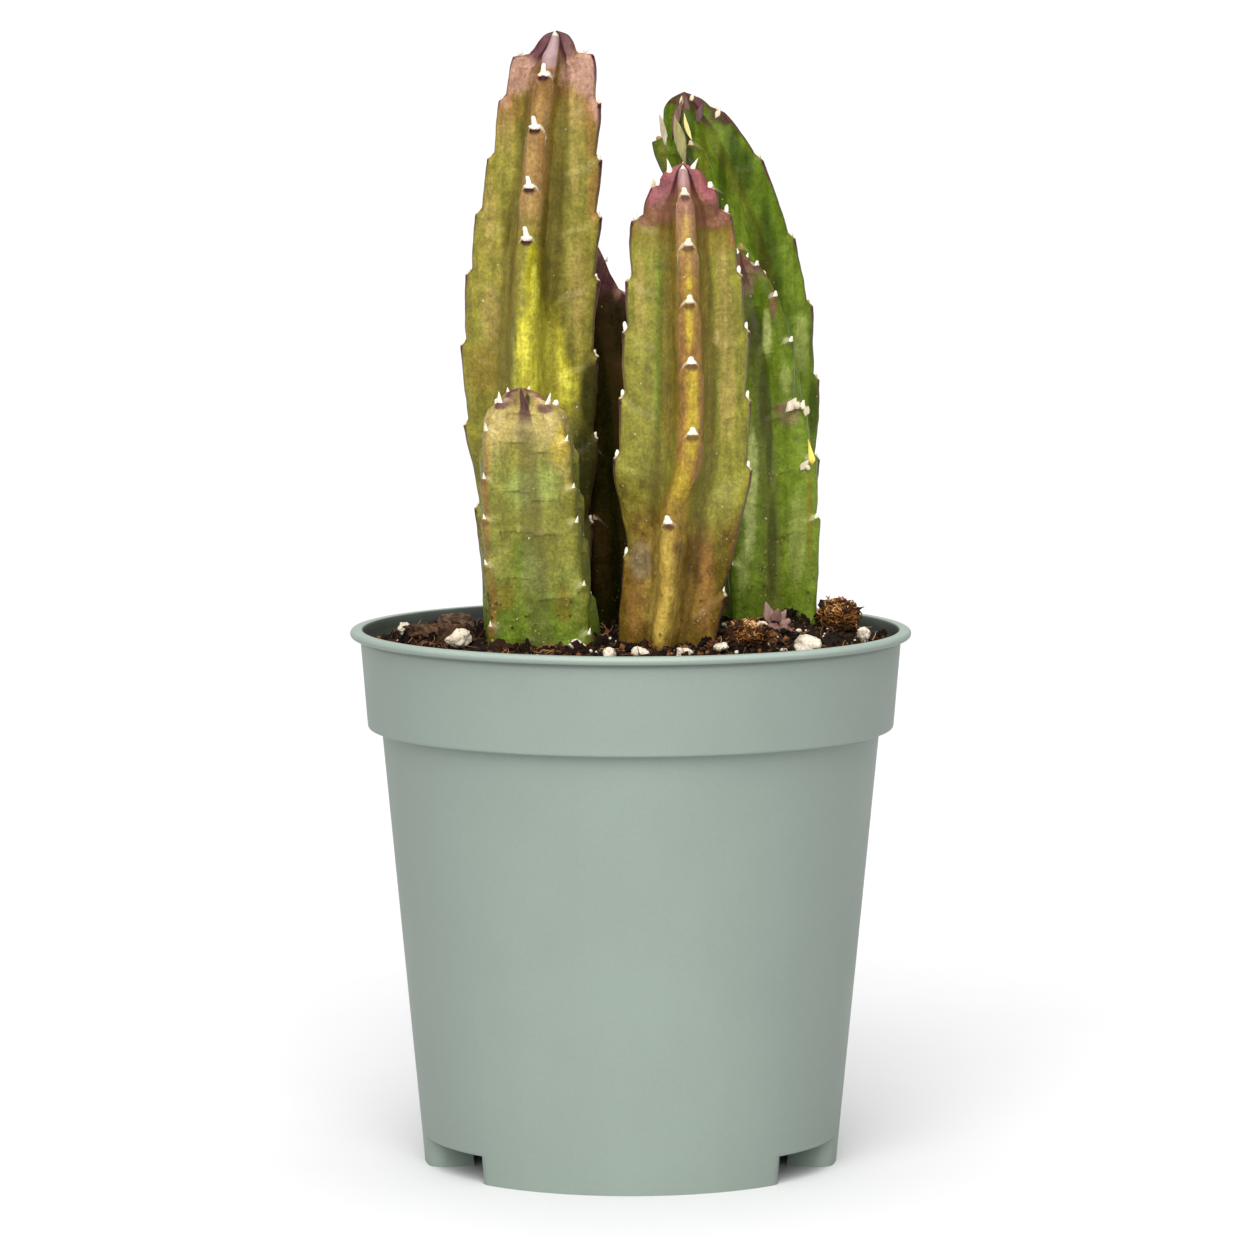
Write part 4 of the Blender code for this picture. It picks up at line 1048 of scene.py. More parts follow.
# Where the patches lie on the front of each stem: the kind, then the x and height of the middle
# and half the width and half the height of each
BLOTCHES = {
    "stem_tall_left": {
        "rose": ((-24.8, 232.4, 2.8, 4.0), (-9.5, 232.8, 2.6, 4.7), (-7.0, 227.3, 1.1, 5.5)),
        "plum": ((-20.0, 238.6, 1.6, 2.6), (-13.6, 239.2, 1.6, 3.0)),
        "tan": (
            (-11.9, 226.0, 1.5, 5.5), (-27.0, 220.5, 1.7, 5.1), (-12.1, 212.4, 0.9, 6.4),
            (-30.6, 203.5, 1.5, 7.3), (-30.1, 180.9, 1.9, 6.4), (-11.3, 186.9, 1.5, 9.4),
        ),
        "moss": (
            (-23.4, 224.8, 1.5, 6.4), (-14.4, 208.2, 1.9, 8.5), (-26.8, 203.1, 1.1, 7.7),
            (-17.8, 187.5, 0.9, 8.5), (-15.1, 184.7, 1.3, 12.8), (-13.8, 169.4, 1.7, 8.6),
            (-31.8, 154.8, 3.0, 10.7),
        ),
        "rust": ((-8.2, 220.1, 1.5, 6.4), (-18.3, 214.6, 1.1, 7.2), (-7.8, 206.9, 1.3, 6.4)),
        "lime": ((-20.9, 190.0, 1.5, 7.5), (-19.5, 174.0, 4.4, 10.0), (-17.8, 166.0, 6.0, 6.5)),
        "sun": ((-20.6, 185.0, 0.9, 7.0), (-19.6, 173.0, 4.0, 8.5), (-18.2, 166.0, 5.2, 5.5)),
        "olive": ((-32.6, 178.3, 1.7, 4.3),),
        "bronze": ((-31.8, 169.4, 3.2, 5.1), (-25.1, 188.0, 0.8, 9.5)),
        # Painted shade low on its right flank
        "dark": ((-8.7, 163.4, 2.1, 8.6), (-9.6, 146.2, 3.4, 12.9)),
    },
    "stem_front_centre": {
        "flush": ((4.8, 209.4, 2.6, 3.4), (17.2, 209.6, 2.6, 3.4)),
        "wine": ((4.2, 204.6, 4.0, 3.6), (17.8, 204.4, 4.0, 3.8)),
        "rust": ((21.5, 199.6, 1.0, 3.3), (15.6, 125.4, 1.8, 11.0), (1.1, 121.2, 1.7, 6.3)),
        "fresh": ((5.7, 168.0, 0.8, 12.0), (6.0, 188.0, 0.7, 8.0), (17.6, 165.0, 0.8, 8.0)),
        "sage": ((5.5, 186.6, 1.3, 9.2), (4.4, 169.5, 1.7, 8.4), (4.0, 150.6, 2.1, 6.3)),
        "bronze": (
            (8.2, 186.2, 1.0, 14.6), (15.9, 186.2, 1.0, 12.5), (8.2, 165.3, 1.3, 10.5),
            (16.8, 165.3, 1.0, 10.5), (1.6, 125.0, 1.6, 8.4),
        ),
        "tan": (
            (1.9, 186.2, 1.0, 8.3), (19.4, 192.5, 1.3, 5.4), (20.0, 180.0, 1.9, 9.0),
            (20.4, 165.0, 1.6, 8.0),
        ),
        "cream": ((18.0, 177.9, 0.6, 1.7),),
        "olive": ((19.1, 150.6, 1.9, 7.5),),
        "gold": ((10.6, 146.3, 2.0, 5.4), (6.7, 134.0, 1.7, 8.0)),
        "amber": ((6.9, 131.0, 2.0, 7.5), (6.5, 121.0, 3.0, 7.5)),
        "honey": ((6.6, 130.0, 3.6, 11.0), (9.5, 140.0, 2.4, 6.0), (9.0, 121.0, 4.6, 8.0)),
        "grey": ((2.1, 130.5, 2.3, 4.0),),
        "moss": ((19.1, 131.7, 1.3, 8.4),),
    },
    "stem_short_left": {
        "cream": ((-27.1, 159.7, 3.2, 3.8), (-18.7, 158.8, 2.7, 4.2)),
        "gold": ((-14.9, 154.8, 1.8, 4.0),),
        "olive": ((-22.9, 152.7, 2.5, 2.8), (-13.5, 138.0, 1.6, 8.0)),
        "sage": ((-17.5, 133.2, 2.0, 4.3), (-27.5, 140.0, 1.6, 6.0)),
        "fresh": ((-22.2, 130.6, 2.8, 5.6), (-20.0, 119.9, 3.4, 4.6)),
        "pale": ((-23.5, 146.0, 3.0, 4.0), (-18.0, 147.0, 2.4, 4.0), (-21.0, 128.0, 2.0, 4.0)),
        "bronze": ((-27.2, 123.0, 2.4, 3.4), (-14.2, 121.5, 1.6, 4.0)),
        "rust": ((-30.9, 141.0, 1.1, 15.0), (-29.4, 121.0, 1.0, 8.0)),
        "tan": ((-10.4, 146.0, 0.7, 8.0),),
        # Painted shade in the cleft at the tip
        "dark": ((-21.9, 164.0, 0.5, 1.8),),
        "plum": ((-27.6, 163.4, 1.6, 1.0), (-18.2, 162.6, 1.6, 1.0)),
    },
    "stem_tall_right": {
        "fresh": (
            (22.6, 206.3, 0.9, 5.6), (24.8, 202.4, 0.9, 6.5), (18.9, 218.4, 1.3, 3.0),
            (34.5, 192.0, 1.1, 8.7), (36.7, 183.8, 1.3, 7.8),
        ),
        "moss": ((15.6, 214.5, 1.3, 5.2),),
        "sage": ((6.3, 214.5, 1.7, 4.3),),
        "deep": (
            (22.6, 216.2, 1.1, 5.6), (19.8, 208.4, 0.9, 8.7), (29.3, 195.9, 1.3, 8.7),
            (31.9, 181.6, 1.3, 9.5), (12.8, 220.5, 1.1, 6.5), (40.0, 159.9, 1.1, 6.5),
            (24.9, 211.5, 1.5, 5.0), (30.2, 194.7, 1.6, 5.0),
        ),
        "pale": ((37.4, 174.2, 1.5, 6.5),),
        "plum": ((12.9, 226.4, 2.4, 2.2), (5.4, 219.0, 0.7, 1.2), (30.4, 211.8, 0.7, 2.2)),
    },
    "stem_mid_right": {
        "wine": ((24.4, 190.6, 1.5, 3.8), (30.4, 183.6, 0.6, 3.2), (32.4, 161.4, 2.2, 0.7)),
        # The sheen patches are painted highlight.
        "sheen": ((25.6, 138.0, 1.1, 8.0), (26.2, 149.0, 1.0, 8.0), (29.1, 177.5, 0.7, 4.6)),
        "fresh": (
            (29.7, 172.1, 1.3, 5.1), (25.7, 152.4, 1.3, 12.8), (31.8, 169.5, 1.1, 4.3),
            (34.0, 149.4, 1.5, 6.4), (33.6, 137.9, 1.3, 10.7), (26.0, 129.3, 1.9, 7.3),
        ),
        # The pale patches near x 24 to 25, on the left flank, are painted highlight.
        "pale": (
            (29.2, 177.0, 1.0, 5.0), (35.6, 133.6, 1.7, 9.4), (25.0, 147.5, 1.6, 10.0),
            (33.2, 167.5, 1.2, 3.0), (24.3, 127.5, 1.2, 5.0),
        ),
        "grey": ((33.6, 160.4, 2.2, 2.6), (25.4, 188.8, 1.3, 2.8)),
        "bronze": ((38.3, 137.9, 0.6, 10.7),),
        # The three lower deep patches are painted shade along the groove between its front ribs.
        "deep": (
            (26.7, 178.1, 1.5, 4.3), (28.7, 163.6, 1.1, 8.5), (29.7, 155.0, 0.6, 10.7),
            (30.4, 131.4, 0.9, 10.7),
        ),
    },
    "stem_rear": {
        "plum": ((-5.3, 189.2, 2.6, 5.2),),
        "rose": ((-6.6, 192.0, 1.1, 2.2), (-3.0, 185.5, 0.9, 2.2)),
        "grey": ((-5.6, 189.4, 1.0, 2.0),),
        # Painted shade over its body
        "dark": ((-4.5, 177.3, 4.8, 7.8), (-5.3, 153.4, 5.2, 17.4)),
    },
}


def kinds_of(name):
    """The kinds of patch on a stem, in the order in which they are laid."""
    return [kind for kind in PATCHES if kind in BLOTCHES[name]]


def patch_of(stem, kind, points, middle):
    """How strongly a kind of patch is painted on each point of the front of a stem."""
    total = np.zeros(points.shape[:2])
    for x, height, half_width, half_height in BLOTCHES[stem.name][kind]:
        across = (points[..., 0] - x) / (half_width * 1.25)
        along = (points[..., 2] - height) / (half_height * 1.15)
        total = np.maximum(total, np.exp(-((across**2 + along**2) ** 1.3)))
    return total * (points[..., 1] < middle + 1.0)


def surface_at(stem, rib, height):
    """The edge of a rib at a height, the direction outwards there, and the reach."""
    x, y, reach, turn = spine_at(stem, height)
    angle = math.radians(stem.ribs[rib] + turn)
    outward = Vector((math.sin(angle), -math.cos(angle), 0.0))
    return Vector((x, y, height)) + outward * reach, outward, reach


# A spur from its foot up: share of its length, half its width and half its depth
POST = (
    (-0.1, 1.5, 0.5), (0.02, 1.7, 0.55), (0.12, 1.45, 0.5), (0.2, 0.78, 0.45), (0.6, 0.66, 0.4),
    (0.9, 0.62, 0.36), (1.0, 0.42, 0.24),
)
BLOCK = (
    (-0.12, 1.35, 0.55), (0.0, 1.5, 0.62), (0.2, 1.2, 0.6), (0.55, 0.82, 0.52), (0.88, 0.66, 0.42),
    (1.0, 0.4, 0.25),
)
CONE = (
    (-0.12, 1.15, 0.6), (0.0, 1.25, 0.62), (0.2, 0.95, 0.55), (0.5, 0.6, 0.42), (0.78, 0.32, 0.26),
    (0.95, 0.12, 0.12),
)
NUB = ((-0.25, 0.55, 0.55), (0.0, 0.9, 0.8), (0.35, 0.85, 0.78), (0.7, 0.7, 0.62), (0.95, 0.38, 0.34))
HUSK = (
    (-0.05, 0.45, 0.16), (0.15, 0.9, 0.2), (0.4, 1.0, 0.18), (0.7, 0.66, 0.15), (0.92, 0.28, 0.12),
    (1.0, 0.1, 0.08),
)
SPUR_SIDES = 12

# Of each stem: the shape of the spurs on its front ribs, their length and width, the length of
# the nubs on its side ribs, how worn they all are, and how much smaller the old ones are
SPURS = {
    "stem_tall_left": (POST, 2.2, 0.8, 0.9, 0.0, 0.0),
    "stem_front_centre": (BLOCK, 1.5, 0.78, 1.6, 0.0, 0.0),
    "stem_short_left": (CONE, 2.3, 0.76, 1.4, 0.0, 0.45),
    "stem_tall_right": (BLOCK, 1.0, 0.5, 0.9, 0.45, 0.0),
    "stem_mid_right": (BLOCK, 1.3, 0.65, 1.4, 0.1, 0.25),
    "stem_rear": (CONE, 1.2, 0.6, 1.1, 0.25, 0.0),
}

# Husks and spurs that stand out: shape, finish, foot as x, y and height, lean towards +X,
# length, width and how worn
LOOSE = {
    "stem_front_centre": (
        (CONE, 1, (8.2, -14.6, 212.8), -0.1, 2.6, 0.55, 0.0),
        (CONE, 1, (13.0, -14.4, 213.4), 0.45, 2.4, 0.45, 0.0),
        (BLOCK, 1, (4.9, -12.6, 209.4), -0.25, 1.7, 0.45, 0.6),
    ),
    "stem_tall_right": (
        (HUSK, 2, (7.4, 27.6, 218.3), -0.1, 5.6, 0.75, 0.44),
        (HUSK, 2, (11.4, 26.2, 214.9), -0.2, 8.6, 1.3, 0.52),
        (HUSK, 2, (12.8, 26.6, 219.3), -0.42, 4.8, 0.5, 0.12),
        (HUSK, 2, (9.4, 28.4, 220.5), 0.14, 6.6, 0.85, 0.9),
        (HUSK, 2, (14.6, 29.0, 222.6), 0.18, 3.4, 0.9, 1.0),
        (HUSK, 2, (12.4, 29.4, 224.0), -0.25, 3.6, 0.6, 0.88),
        (HUSK, 2, (10.8, 29.8, 225.6), 0.25, 2.2, 0.45, 0.25),
        (NUB, 2, (13.2, 30.5, 227.0), 0.3, 1.1, 0.55, 0.25),
        (HUSK, 2, (18.6, 29.5, 223.4), 0.5, 1.8, 0.55, 0.32),
    ),
    "stem_mid_right": (
        (CONE, 2, (38.6, 3.4, 150.9), -0.12, 4.2, 0.72, 0.0),
        (HUSK, 2, (33.6, 3.0, 161.4), 0.9, 3.0, 0.95, 0.38),
        (NUB, 2, (35.4, 2.9, 161.9), 0.5, 1.2, 0.8, 0.4),
        (NUB, 2, (36.9, 3.2, 161.7), -0.4, 1.0, 0.7, 0.36),
        (HUSK, 2, (37.4, 3.0, 160.4), 0.3, 1.8, 0.7, 0.42),
        (HUSK, 2, (36.6, 2.5, 148.8), 0.7, 2.2, 0.8, 0.42),
        (NUB, 2, (38.0, 2.5, 148.7), -0.3, 0.9, 0.6, 0.38),
    ),
}


def spur(draw, profile, root, up, outward, length, width, worn, finish=1):
    """A pale dry spur with uneven sides, bent a little at the point."""
    across = up.cross(outward).normalized()
    deep = across.cross(up).normalized()
    turns = circle(SPUR_SIDES)
    lean = draw.uniform(-0.16, 0.16)
    rings = []
    for share, wide, thick in profile:
        bend = across * (lean * length * max(share, 0.0) ** 2)
        centre = root + up * (length * share) + outward * (0.12 * length * share) + bend
        uneven = np.array([draw.uniform(0.84, 1.16) for _ in turns])
        side = np.outer(np.cos(turns) * wide * width * uneven, across)
        depth = np.outer(np.sin(turns) * thick * width * uneven, deep)
        rings.append(side + depth + np.array(centre))
    last = profile[-1][0]
    tip = root + (up + outward * 0.12 + across * lean) * (length * (last + 0.06))
    points, faces = loft(np.array(rings), root - up * (length * 0.4), tip)
    shares = np.repeat([share for share, _, _ in profile], SPUR_SIDES)
    dark_foot = 1.2 * part(0.06 - shares, 0.0, 0.3) * (finish == 1)
    return Shape(points, faces, finish, worn=np.concatenate([worn + dark_foot, [worn, worn]]))


def stem_spurs(stem, draw):
    """A spur on every tooth. Those on the ribs at the sides are nubs, low on their shelves."""
    shapes = []
    profile, front_length, front_width, side_length, wear, fade = SPURS[stem.name]
    top = stem.spine[-1][0]
    for teeth, young, rib in zip(stem.teeth, stem.young, range(RIBS)):
        for tooth in teeth:
            root, outward, reach = surface_at(stem, rib, tooth)
            if tooth < soil_height(root.x, root.y) + SPUR_CLEARANCE:
                continue
            old = min(1.0, max(0.0, (top - tooth - 6.0) / 6.0))
            size = (0.62 + 0.38 * min(1.0, reach / STEP_FULL_REACH)) * (1.0 - fade * old)
            worn = wear + draw.choice((0.0, 0.0, 0.0, 0.1, 0.25, 0.5))
            if outward.y < -0.45:
                shape = profile
                length = front_length * draw.uniform(0.85, 1.12)
                width = front_width
                root = root + outward * -0.30 + UP * 0.10
                lean = draw.uniform(0.02, 0.18)
            else:
                shape = NUB
                length = side_length * draw.uniform(0.8, 1.15)
                width = 0.36 + 0.18 * side_length * draw.uniform(0.8, 1.2)
                root = root + outward * -1.0 + UP * 0.55
                lean = draw.uniform(-0.15, 0.10)
                if tooth == teeth[0]:
                    width *= 1.6
                    root -= outward * 0.5
            up = (UP + outward * lean).normalized()
            shapes.append(spur(draw, shape, root, up, outward, length * size, width * size, worn))
        for tooth in young:
            root, outward, reach = surface_at(stem, rib, tooth)
            up = (UP + outward * draw.uniform(0.0, 0.4)).normalized()
            length = draw.uniform(0.7, 1.2)
            shapes.append(spur(draw, CONE, root - outward * 0.2, up, outward, length, 0.40, 0.1))
    for shape, finish, foot, lean, length, width, worn in LOOSE.get(stem.name, ()):
        up = Vector((lean, 0.0, 1.0)).normalized()
        shapes.append(spur(draw, shape, Vector(foot), up, FRONT, length, width, worn, finish))
    return shapes


# Each stem's skin: colours of its faces and its ribs from soil to tip, of its outlines, of the
# painted shade on the sides of its front rib and of the painted highlight on that rib, and what
# differs from the other skins
LOOKS = {
    "stem_tall_left": dict(
        face=(
            (0.0, MOSS), (0.2, OLIVE), (0.5, OLIVE_TAN), (0.82, OLIVE_TAN), (0.9, RUST), (0.94, DUSTY_PINK),
            (0.975, PLUM),
        ),
        rib=(
            (0.0, MOSS), (0.4, OLIVE), (0.62, OLIVE_TAN), (0.74, SALMON), (0.82, SALMON), (0.9, RUST),
            (0.93, DUSTY_PINK), (0.96, PLUM),
        ),
        rim=PLUM, side=BROWN, glow=TAN,
    ),
    "stem_front_centre": dict(
        face=((0.2, BROWN), (0.34, OLIVE), (0.8, OLIVE), (0.87, BRONZE), (0.93, MAGENTA)),
        rib=(
            (0.25, BROWN), (0.45, RUST), (0.7, RUST), (0.86, SALMON), (0.93, ROSE), (0.97, MAGENTA),
            (1.0, PLUM),
        ),
        rim=PLUM, side=BRONZE, glow=GOLD, hem=0.6, under=0.75, glaze=0.55, seed=11.0,
    ),
    "stem_short_left": dict(
        face=(
            (0.0, LEAF), (0.1, FRESH), (0.35, CELERY), (0.7, CELERY), (0.86, SAND), (0.96, TAN),
            (1.0, PLUM),
        ),
        rib=(
            (0.0, MOSS), (0.2, CELERY), (0.6, CELERY), (0.8, TAN), (0.92, SAND), (0.97, DUSTY_PINK),
            (1.0, PLUM),
        ),
        rim=PLUM, side=OLIVE, glow=SAND, hem=0.15, comb=0.12, pale=1.0, crease=0.7, under=0.2, seed=23.0,
    ),
    "stem_tall_right": dict(
        face=((0.3, FRESH), (0.6, LEAF), (0.965, LEAF), (1.0, UMBER)),
        rib=((0.6, FRESH), (0.8, LEAF), (0.965, LEAF), (1.0, PLUM)), rim=PLUM, side=LEAF, glow=FRESH,
        hem=0.1, comb=0.25, pale=0.3, under=0.35, gloss=0.12, grain=0.2, seed=37.0,
    ),
    "stem_mid_right": dict(
        face=((0.0, LEAF), (0.25, FRESH), (0.55, FRESH), (0.8, LEAF), (0.93, LEAF), (1.0, PLUM)),
        rib=((0.6, FRESH), (0.78, LEAF), (0.9, MOSS), (1.0, PLUM)), rim=BRONZE, side=LEAF, glow=FRESH,
        hem=0.3, comb=0.15, pale=0.6, crease=0.6, under=0.2, gloss=0.15, grain=0.2, seed=51.0,
    ),
    # The rear stem stands in the shade of the stems in front: its near-black colours are painted shade.
    "stem_rear": dict(
        face=((0.3, SHADE_BLACK), (0.6, UMBER), (0.8, PLUM)),
        rib=((0.0, SHADE_BLACK), (0.3, UMBER), (0.6, UMBER), (0.8, PLUM)), rim=MAROON, side=SHADE_BLACK, glow=UMBER,
        hem=0.3, pale=0.1, under=0.3, gloss=0.0, seed=67.0,
    ),
}


def make_stems():
    skins = {
        name: skin_finish(name.replace("stem", "skin"), kinds=kinds_of(name), **look)
        for name, look in LOOKS.items()
    }
    dry = spur_finish()
    papery = husk_finish()
    for stem in STEMS:
        shapes = [stem_body(stem), *stem_spurs(stem, random.Random(f"{stem.name} {SEED}"))]
        finishes = (skins[stem.name], dry, papery)
        make_piece(f"{stem.name}_skin", shapes, finishes, stem.slot, [stem.name])


def soil_height(x, y):
    """Height of the soil: domed, heaped up at the right, with crumbs."""
    radius = inner_wall()[-1][0]
    dome = SOIL_DOME * (1.0 - (x * x + y * y) / radius**2)
    away = (x - MOUND_CENTRE[0]) ** 2 + (y - MOUND_CENTRE[1]) ** 2
    mound = MOUND_HEIGHT * math.exp(-away / (2.0 * MOUND_SPREAD**2))
    crumbs = CRUMB_HEIGHT * noise.noise(Vector((x, y, SEED)) / CRUMB_SIZE)
    return SOIL_EDGE_HEIGHT + dome + mound + crumbs


def fine_soil_height(x, y):
    place = Vector((x, y, SEED))
    fine = 0.55 * noise.noise(place / 1.9) + 0.5 * noise.noise(place / 0.8)
    return soil_height(x, y) + fine


def make_soil():
    """The peat that fills the pot, with a finely broken surface."""
    *sides, low, high = inner_wall()
    share = (SOIL_EDGE_HEIGHT - low[1]) / (high[1] - low[1])
    rim = low[0] + (high[0] - low[0]) * share - SEAT_GAP
    turns = circle(SOIL_SEGMENTS)
    across, along = np.cos(turns), np.sin(turns)
    rings = []
    for radius, height in (*sides, low):
        inset = radius - SEAT_GAP
        level = np.full(SOIL_SEGMENTS, height + SEAT_GAP)
        rings.append(np.stack([inset * across, inset * along, level], 1))
    for i in range(SOIL_RINGS):
        radius = rim * (SOIL_RINGS - i) / SOIL_RINGS
        xs, ys = radius * across, radius * along
        level = [fine_soil_height(x, y) for x, y in zip(xs, ys)]
        rings.append(np.stack([xs, ys, level], 1))
    foot = (0, 0, rings[0][0][2])
    points, faces = loft(np.array(rings), foot, (0, 0, fine_soil_height(0, 0)))
    dark = (0.006, 0.003, 0.001)
    finish = peat_finish("peat_bed", dark, (0.032, 0.013, 0.005), (0.15, 0.058, 0.018))
    return make_piece("peat_bed", [Shape(points, faces, tone=0.25)], (finish,), "peat", ["soil"])


def ball(subdivisions):
    """Points and faces of a ball of diameter 1."""
    built = bmesh.new()
    bmesh.ops.create_icosphere(built, subdivisions=subdivisions, radius=0.5)
    points = np.array([vert.co[:] for vert in built.verts])
    faces = [[vert.index for vert in face.verts] for face in built.faces]
    built.free()
    return points, faces


def any_three(draw, low, high):
    return [draw.uniform(low, high) for _ in range(3)]


def rough(points, draw, *layers):
    """Points pushed in and out by noise of a size, as a share of their distance, layer by
    layer."""
    for size, height in layers:
        shift = Vector(any_three(draw, -90.0, 90.0))
        push = [1.0 + height * noise.noise(Vector(point) / size + shift) for point in points]
        points = points * np.array(push)[:, None]
    return points


def tumbled(points, draw, scale, centre):
    """Points scaled, turned at random and moved."""
    turn = Euler(any_three(draw, 0.0, math.tau)).to_matrix()
    return (points * np.array(scale)) @ np.array(turn).T + np.array(centre)


def clear_of_stems(x, y, gap):
    """Whether a spot on the soil lies outside every stem."""
    for stem in STEMS:
        cx, cy, reach, turn = spine_at(stem, SOIL_EDGE_HEIGHT + 2.0)
        distance = math.hypot(x - cx, y - cy)
        if distance > reach + gap:
            continue
        angle = math.degrees(math.atan2(x - cx, -(y - cy))) - turn
        aways = [abs((angle - rib + 180.0) % 360.0 - 180.0) / 45.0 for rib in stem.ribs]
        crest = ((1.0 + math.cos(math.pi * min(1.0, min(aways)))) / 2.0) ** RIB_SHARPNESS
        if distance < reach * (stem.valley + (1.0 - stem.valley) * crest) + gap:
            return False
    return True


def soil_spot(draw, gap, reach):
    """A random spot on the soil, clear of the stems."""
    while True:
        radius = reach * math.sqrt(draw.random())
        angle = draw.uniform(0.0, math.tau)
        x = radius * math.cos(angle)
        y = radius * math.sin(angle)
        if clear_of_stems(x, y, gap):
            return x, y


# Loose crumbs: how many, their least and greatest size, and how finely they are modelled
CRUMBS = ((34, 2.4, 4.0, 3), (420, 1.1, 2.2, 2), (3400, 0.4, 1.1, 1))
CRUMB_MOULDS = 9
DUST_GRAINS = 90
COIR_STRANDS = 640
LOOSE_FIBRES = 520
STREWN_REACH = 54.0


def make_crumbs():
    """Loose crumbs of peat strewn over the bed, from dust to lumps."""
    draw = random.Random(f"crumbs {SEED}")
    shapes = []
    for count, low, high, fineness in CRUMBS:
        points, faces = ball(fineness)
        moulds = [rough(points, draw, (0.5, 0.9), (0.2, 0.55)) for _ in range(CRUMB_MOULDS)]
        for _ in range(count):
            size = draw.uniform(low, high)
            x, y = soil_spot(draw, size * 0.35, 55.8 - size / 2)
            scale = [size * draw.uniform(0.5, 1.2) for _ in range(3)]
            centre = (x, y, soil_height(x, y) + size * draw.uniform(0.05, 0.35))
            tone = draw.random() ** 2.2
            crumb = tumbled(draw.choice(moulds), draw, scale, centre)
            shapes.append(Shape(crumb, faces, tone=tone))
    dark = (0.007, 0.003, 0.001)
    finish = peat_finish("peat_crumbs", dark, (0.042, 0.017, 0.007), (0.24, 0.10, 0.035))
    return make_piece("peat_crumbs", shapes, (finish,), "peat", sharp=40.0)


def loose_nodes(kind):
    """Each loose node of a kind, with random draws of its own, its centre and its size."""
    for node in sorted(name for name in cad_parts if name.startswith(kind)):
        low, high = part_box(node)
        centre, size = (low + high) / 2 / MM, (high - low) / MM
        yield node, random.Random(f"{node} {SEED}"), np.array(centre), np.array(size)


def make_perlite():
    points, faces = ball(4)
    finish = perlite_finish()
    for node, draw, centre, size in loose_nodes("perlite_grain_"):
        lump = rough(points, draw, (0.6, 0.6), (0.22, 0.2), (0.08, 0.1)) * size + centre
        name = node.replace("grain", "lump")
        make_piece(name, [Shape(lump, faces)], (finish,), "perlite", [node])


def make_perlite_dust():
    draw = random.Random(f"dust {SEED}")
    points, faces = ball(1)
    shapes = []
    for _ in range(DUST_GRAINS):
        size = draw.uniform(0.4, 1.3)
        x, y = soil_spot(draw, 0.3, STREWN_REACH)
        centre = (x, y, soil_height(x, y) + size * 0.35)
        grain = tumbled(rough(points, draw, (0.4, 0.7)), draw, (size, size, size * 0.8), centre)
        shapes.append(Shape(grain, faces))
    return make_piece("perlite_dust", shapes, (perlite_finish(),), "perlite", sharp=40.0)


def make_bark():
    points, faces = ball(4)
    block = np.sign(points) * (np.abs(points) * 2.0) ** 0.6 / 2.0
    finish = bark_finish()
    for node, draw, centre, size in loose_nodes("bark_chip_"):
        chip = rough(block, draw, (0.5, 0.45), (0.14, 0.22)) * size + centre
        chip = Shape(chip, faces, tone=draw.random())
        make_piece(node.replace("chip", "flake"), [chip], (finish,), "bark", [node], sharp=50.0)


def strand(path, radius, sides=5, **paint):
    """A thin fibre along a path of points, thinner towards its ends."""
    path = np.asarray(path, float)
    along = np.gradient(path, axis=0)
    along /= np.linalg.norm(along, axis=1)[:, None]
    first = np.cross(along, np.array((0.3, 0.2, 1.0)))
    first /= np.linalg.norm(first, axis=1)[:, None]
    second = np.cross(along, first)
    turns = circle(sides)[None, :, None]
    taper = np.sin(np.linspace(0.25, math.pi - 0.25, len(path)))[:, None, None] ** 0.4
    ring = first[:, None] * np.cos(turns) + second[:, None] * np.sin(turns)
    points, faces = loft(path[:, None] + ring * radius * taper, path[0], path[-1])
    return Shape(points, faces, **paint)


def wander(draw, start, heading, length, bend, steps=9):
    """A path that wanders from its start with a slowly turning heading."""
    path = [Vector(start)]
    heading = Vector(heading).normalized()
    turn = Vector(any_three(draw, -bend, bend))
    for _ in range(steps):
        turn += Vector(any_three(draw, -bend, bend)) * 0.35
        heading = (heading + turn * 0.35).normalized()
        path.append(path[-1] + heading * length / steps)
    return path


def sideways_of(draw, out):
    """A random direction along a surface that faces out."""
    return out.cross(Vector(any_three(draw, -1, 1))).normalized()


def curl(draw, centre, out, radius, steps=7):
    """An arc of fibre that lies on a surface facing out, with its ends lifted a little."""
    side = sideways_of(draw, out)
    other = out.cross(side)
    start = draw.uniform(0.0, math.tau)
    sweep = draw.uniform(2.2, 4.8)
    lift = draw.uniform(0.2, 0.7) * radius
    path = []
    for k in range(steps + 1):
        angle = start + sweep * k / steps
        around = (side * math.cos(angle) + other * math.sin(angle)) * radius
        path.append(centre + around + out * (math.sin(1.7 * angle) * lift))
    return path


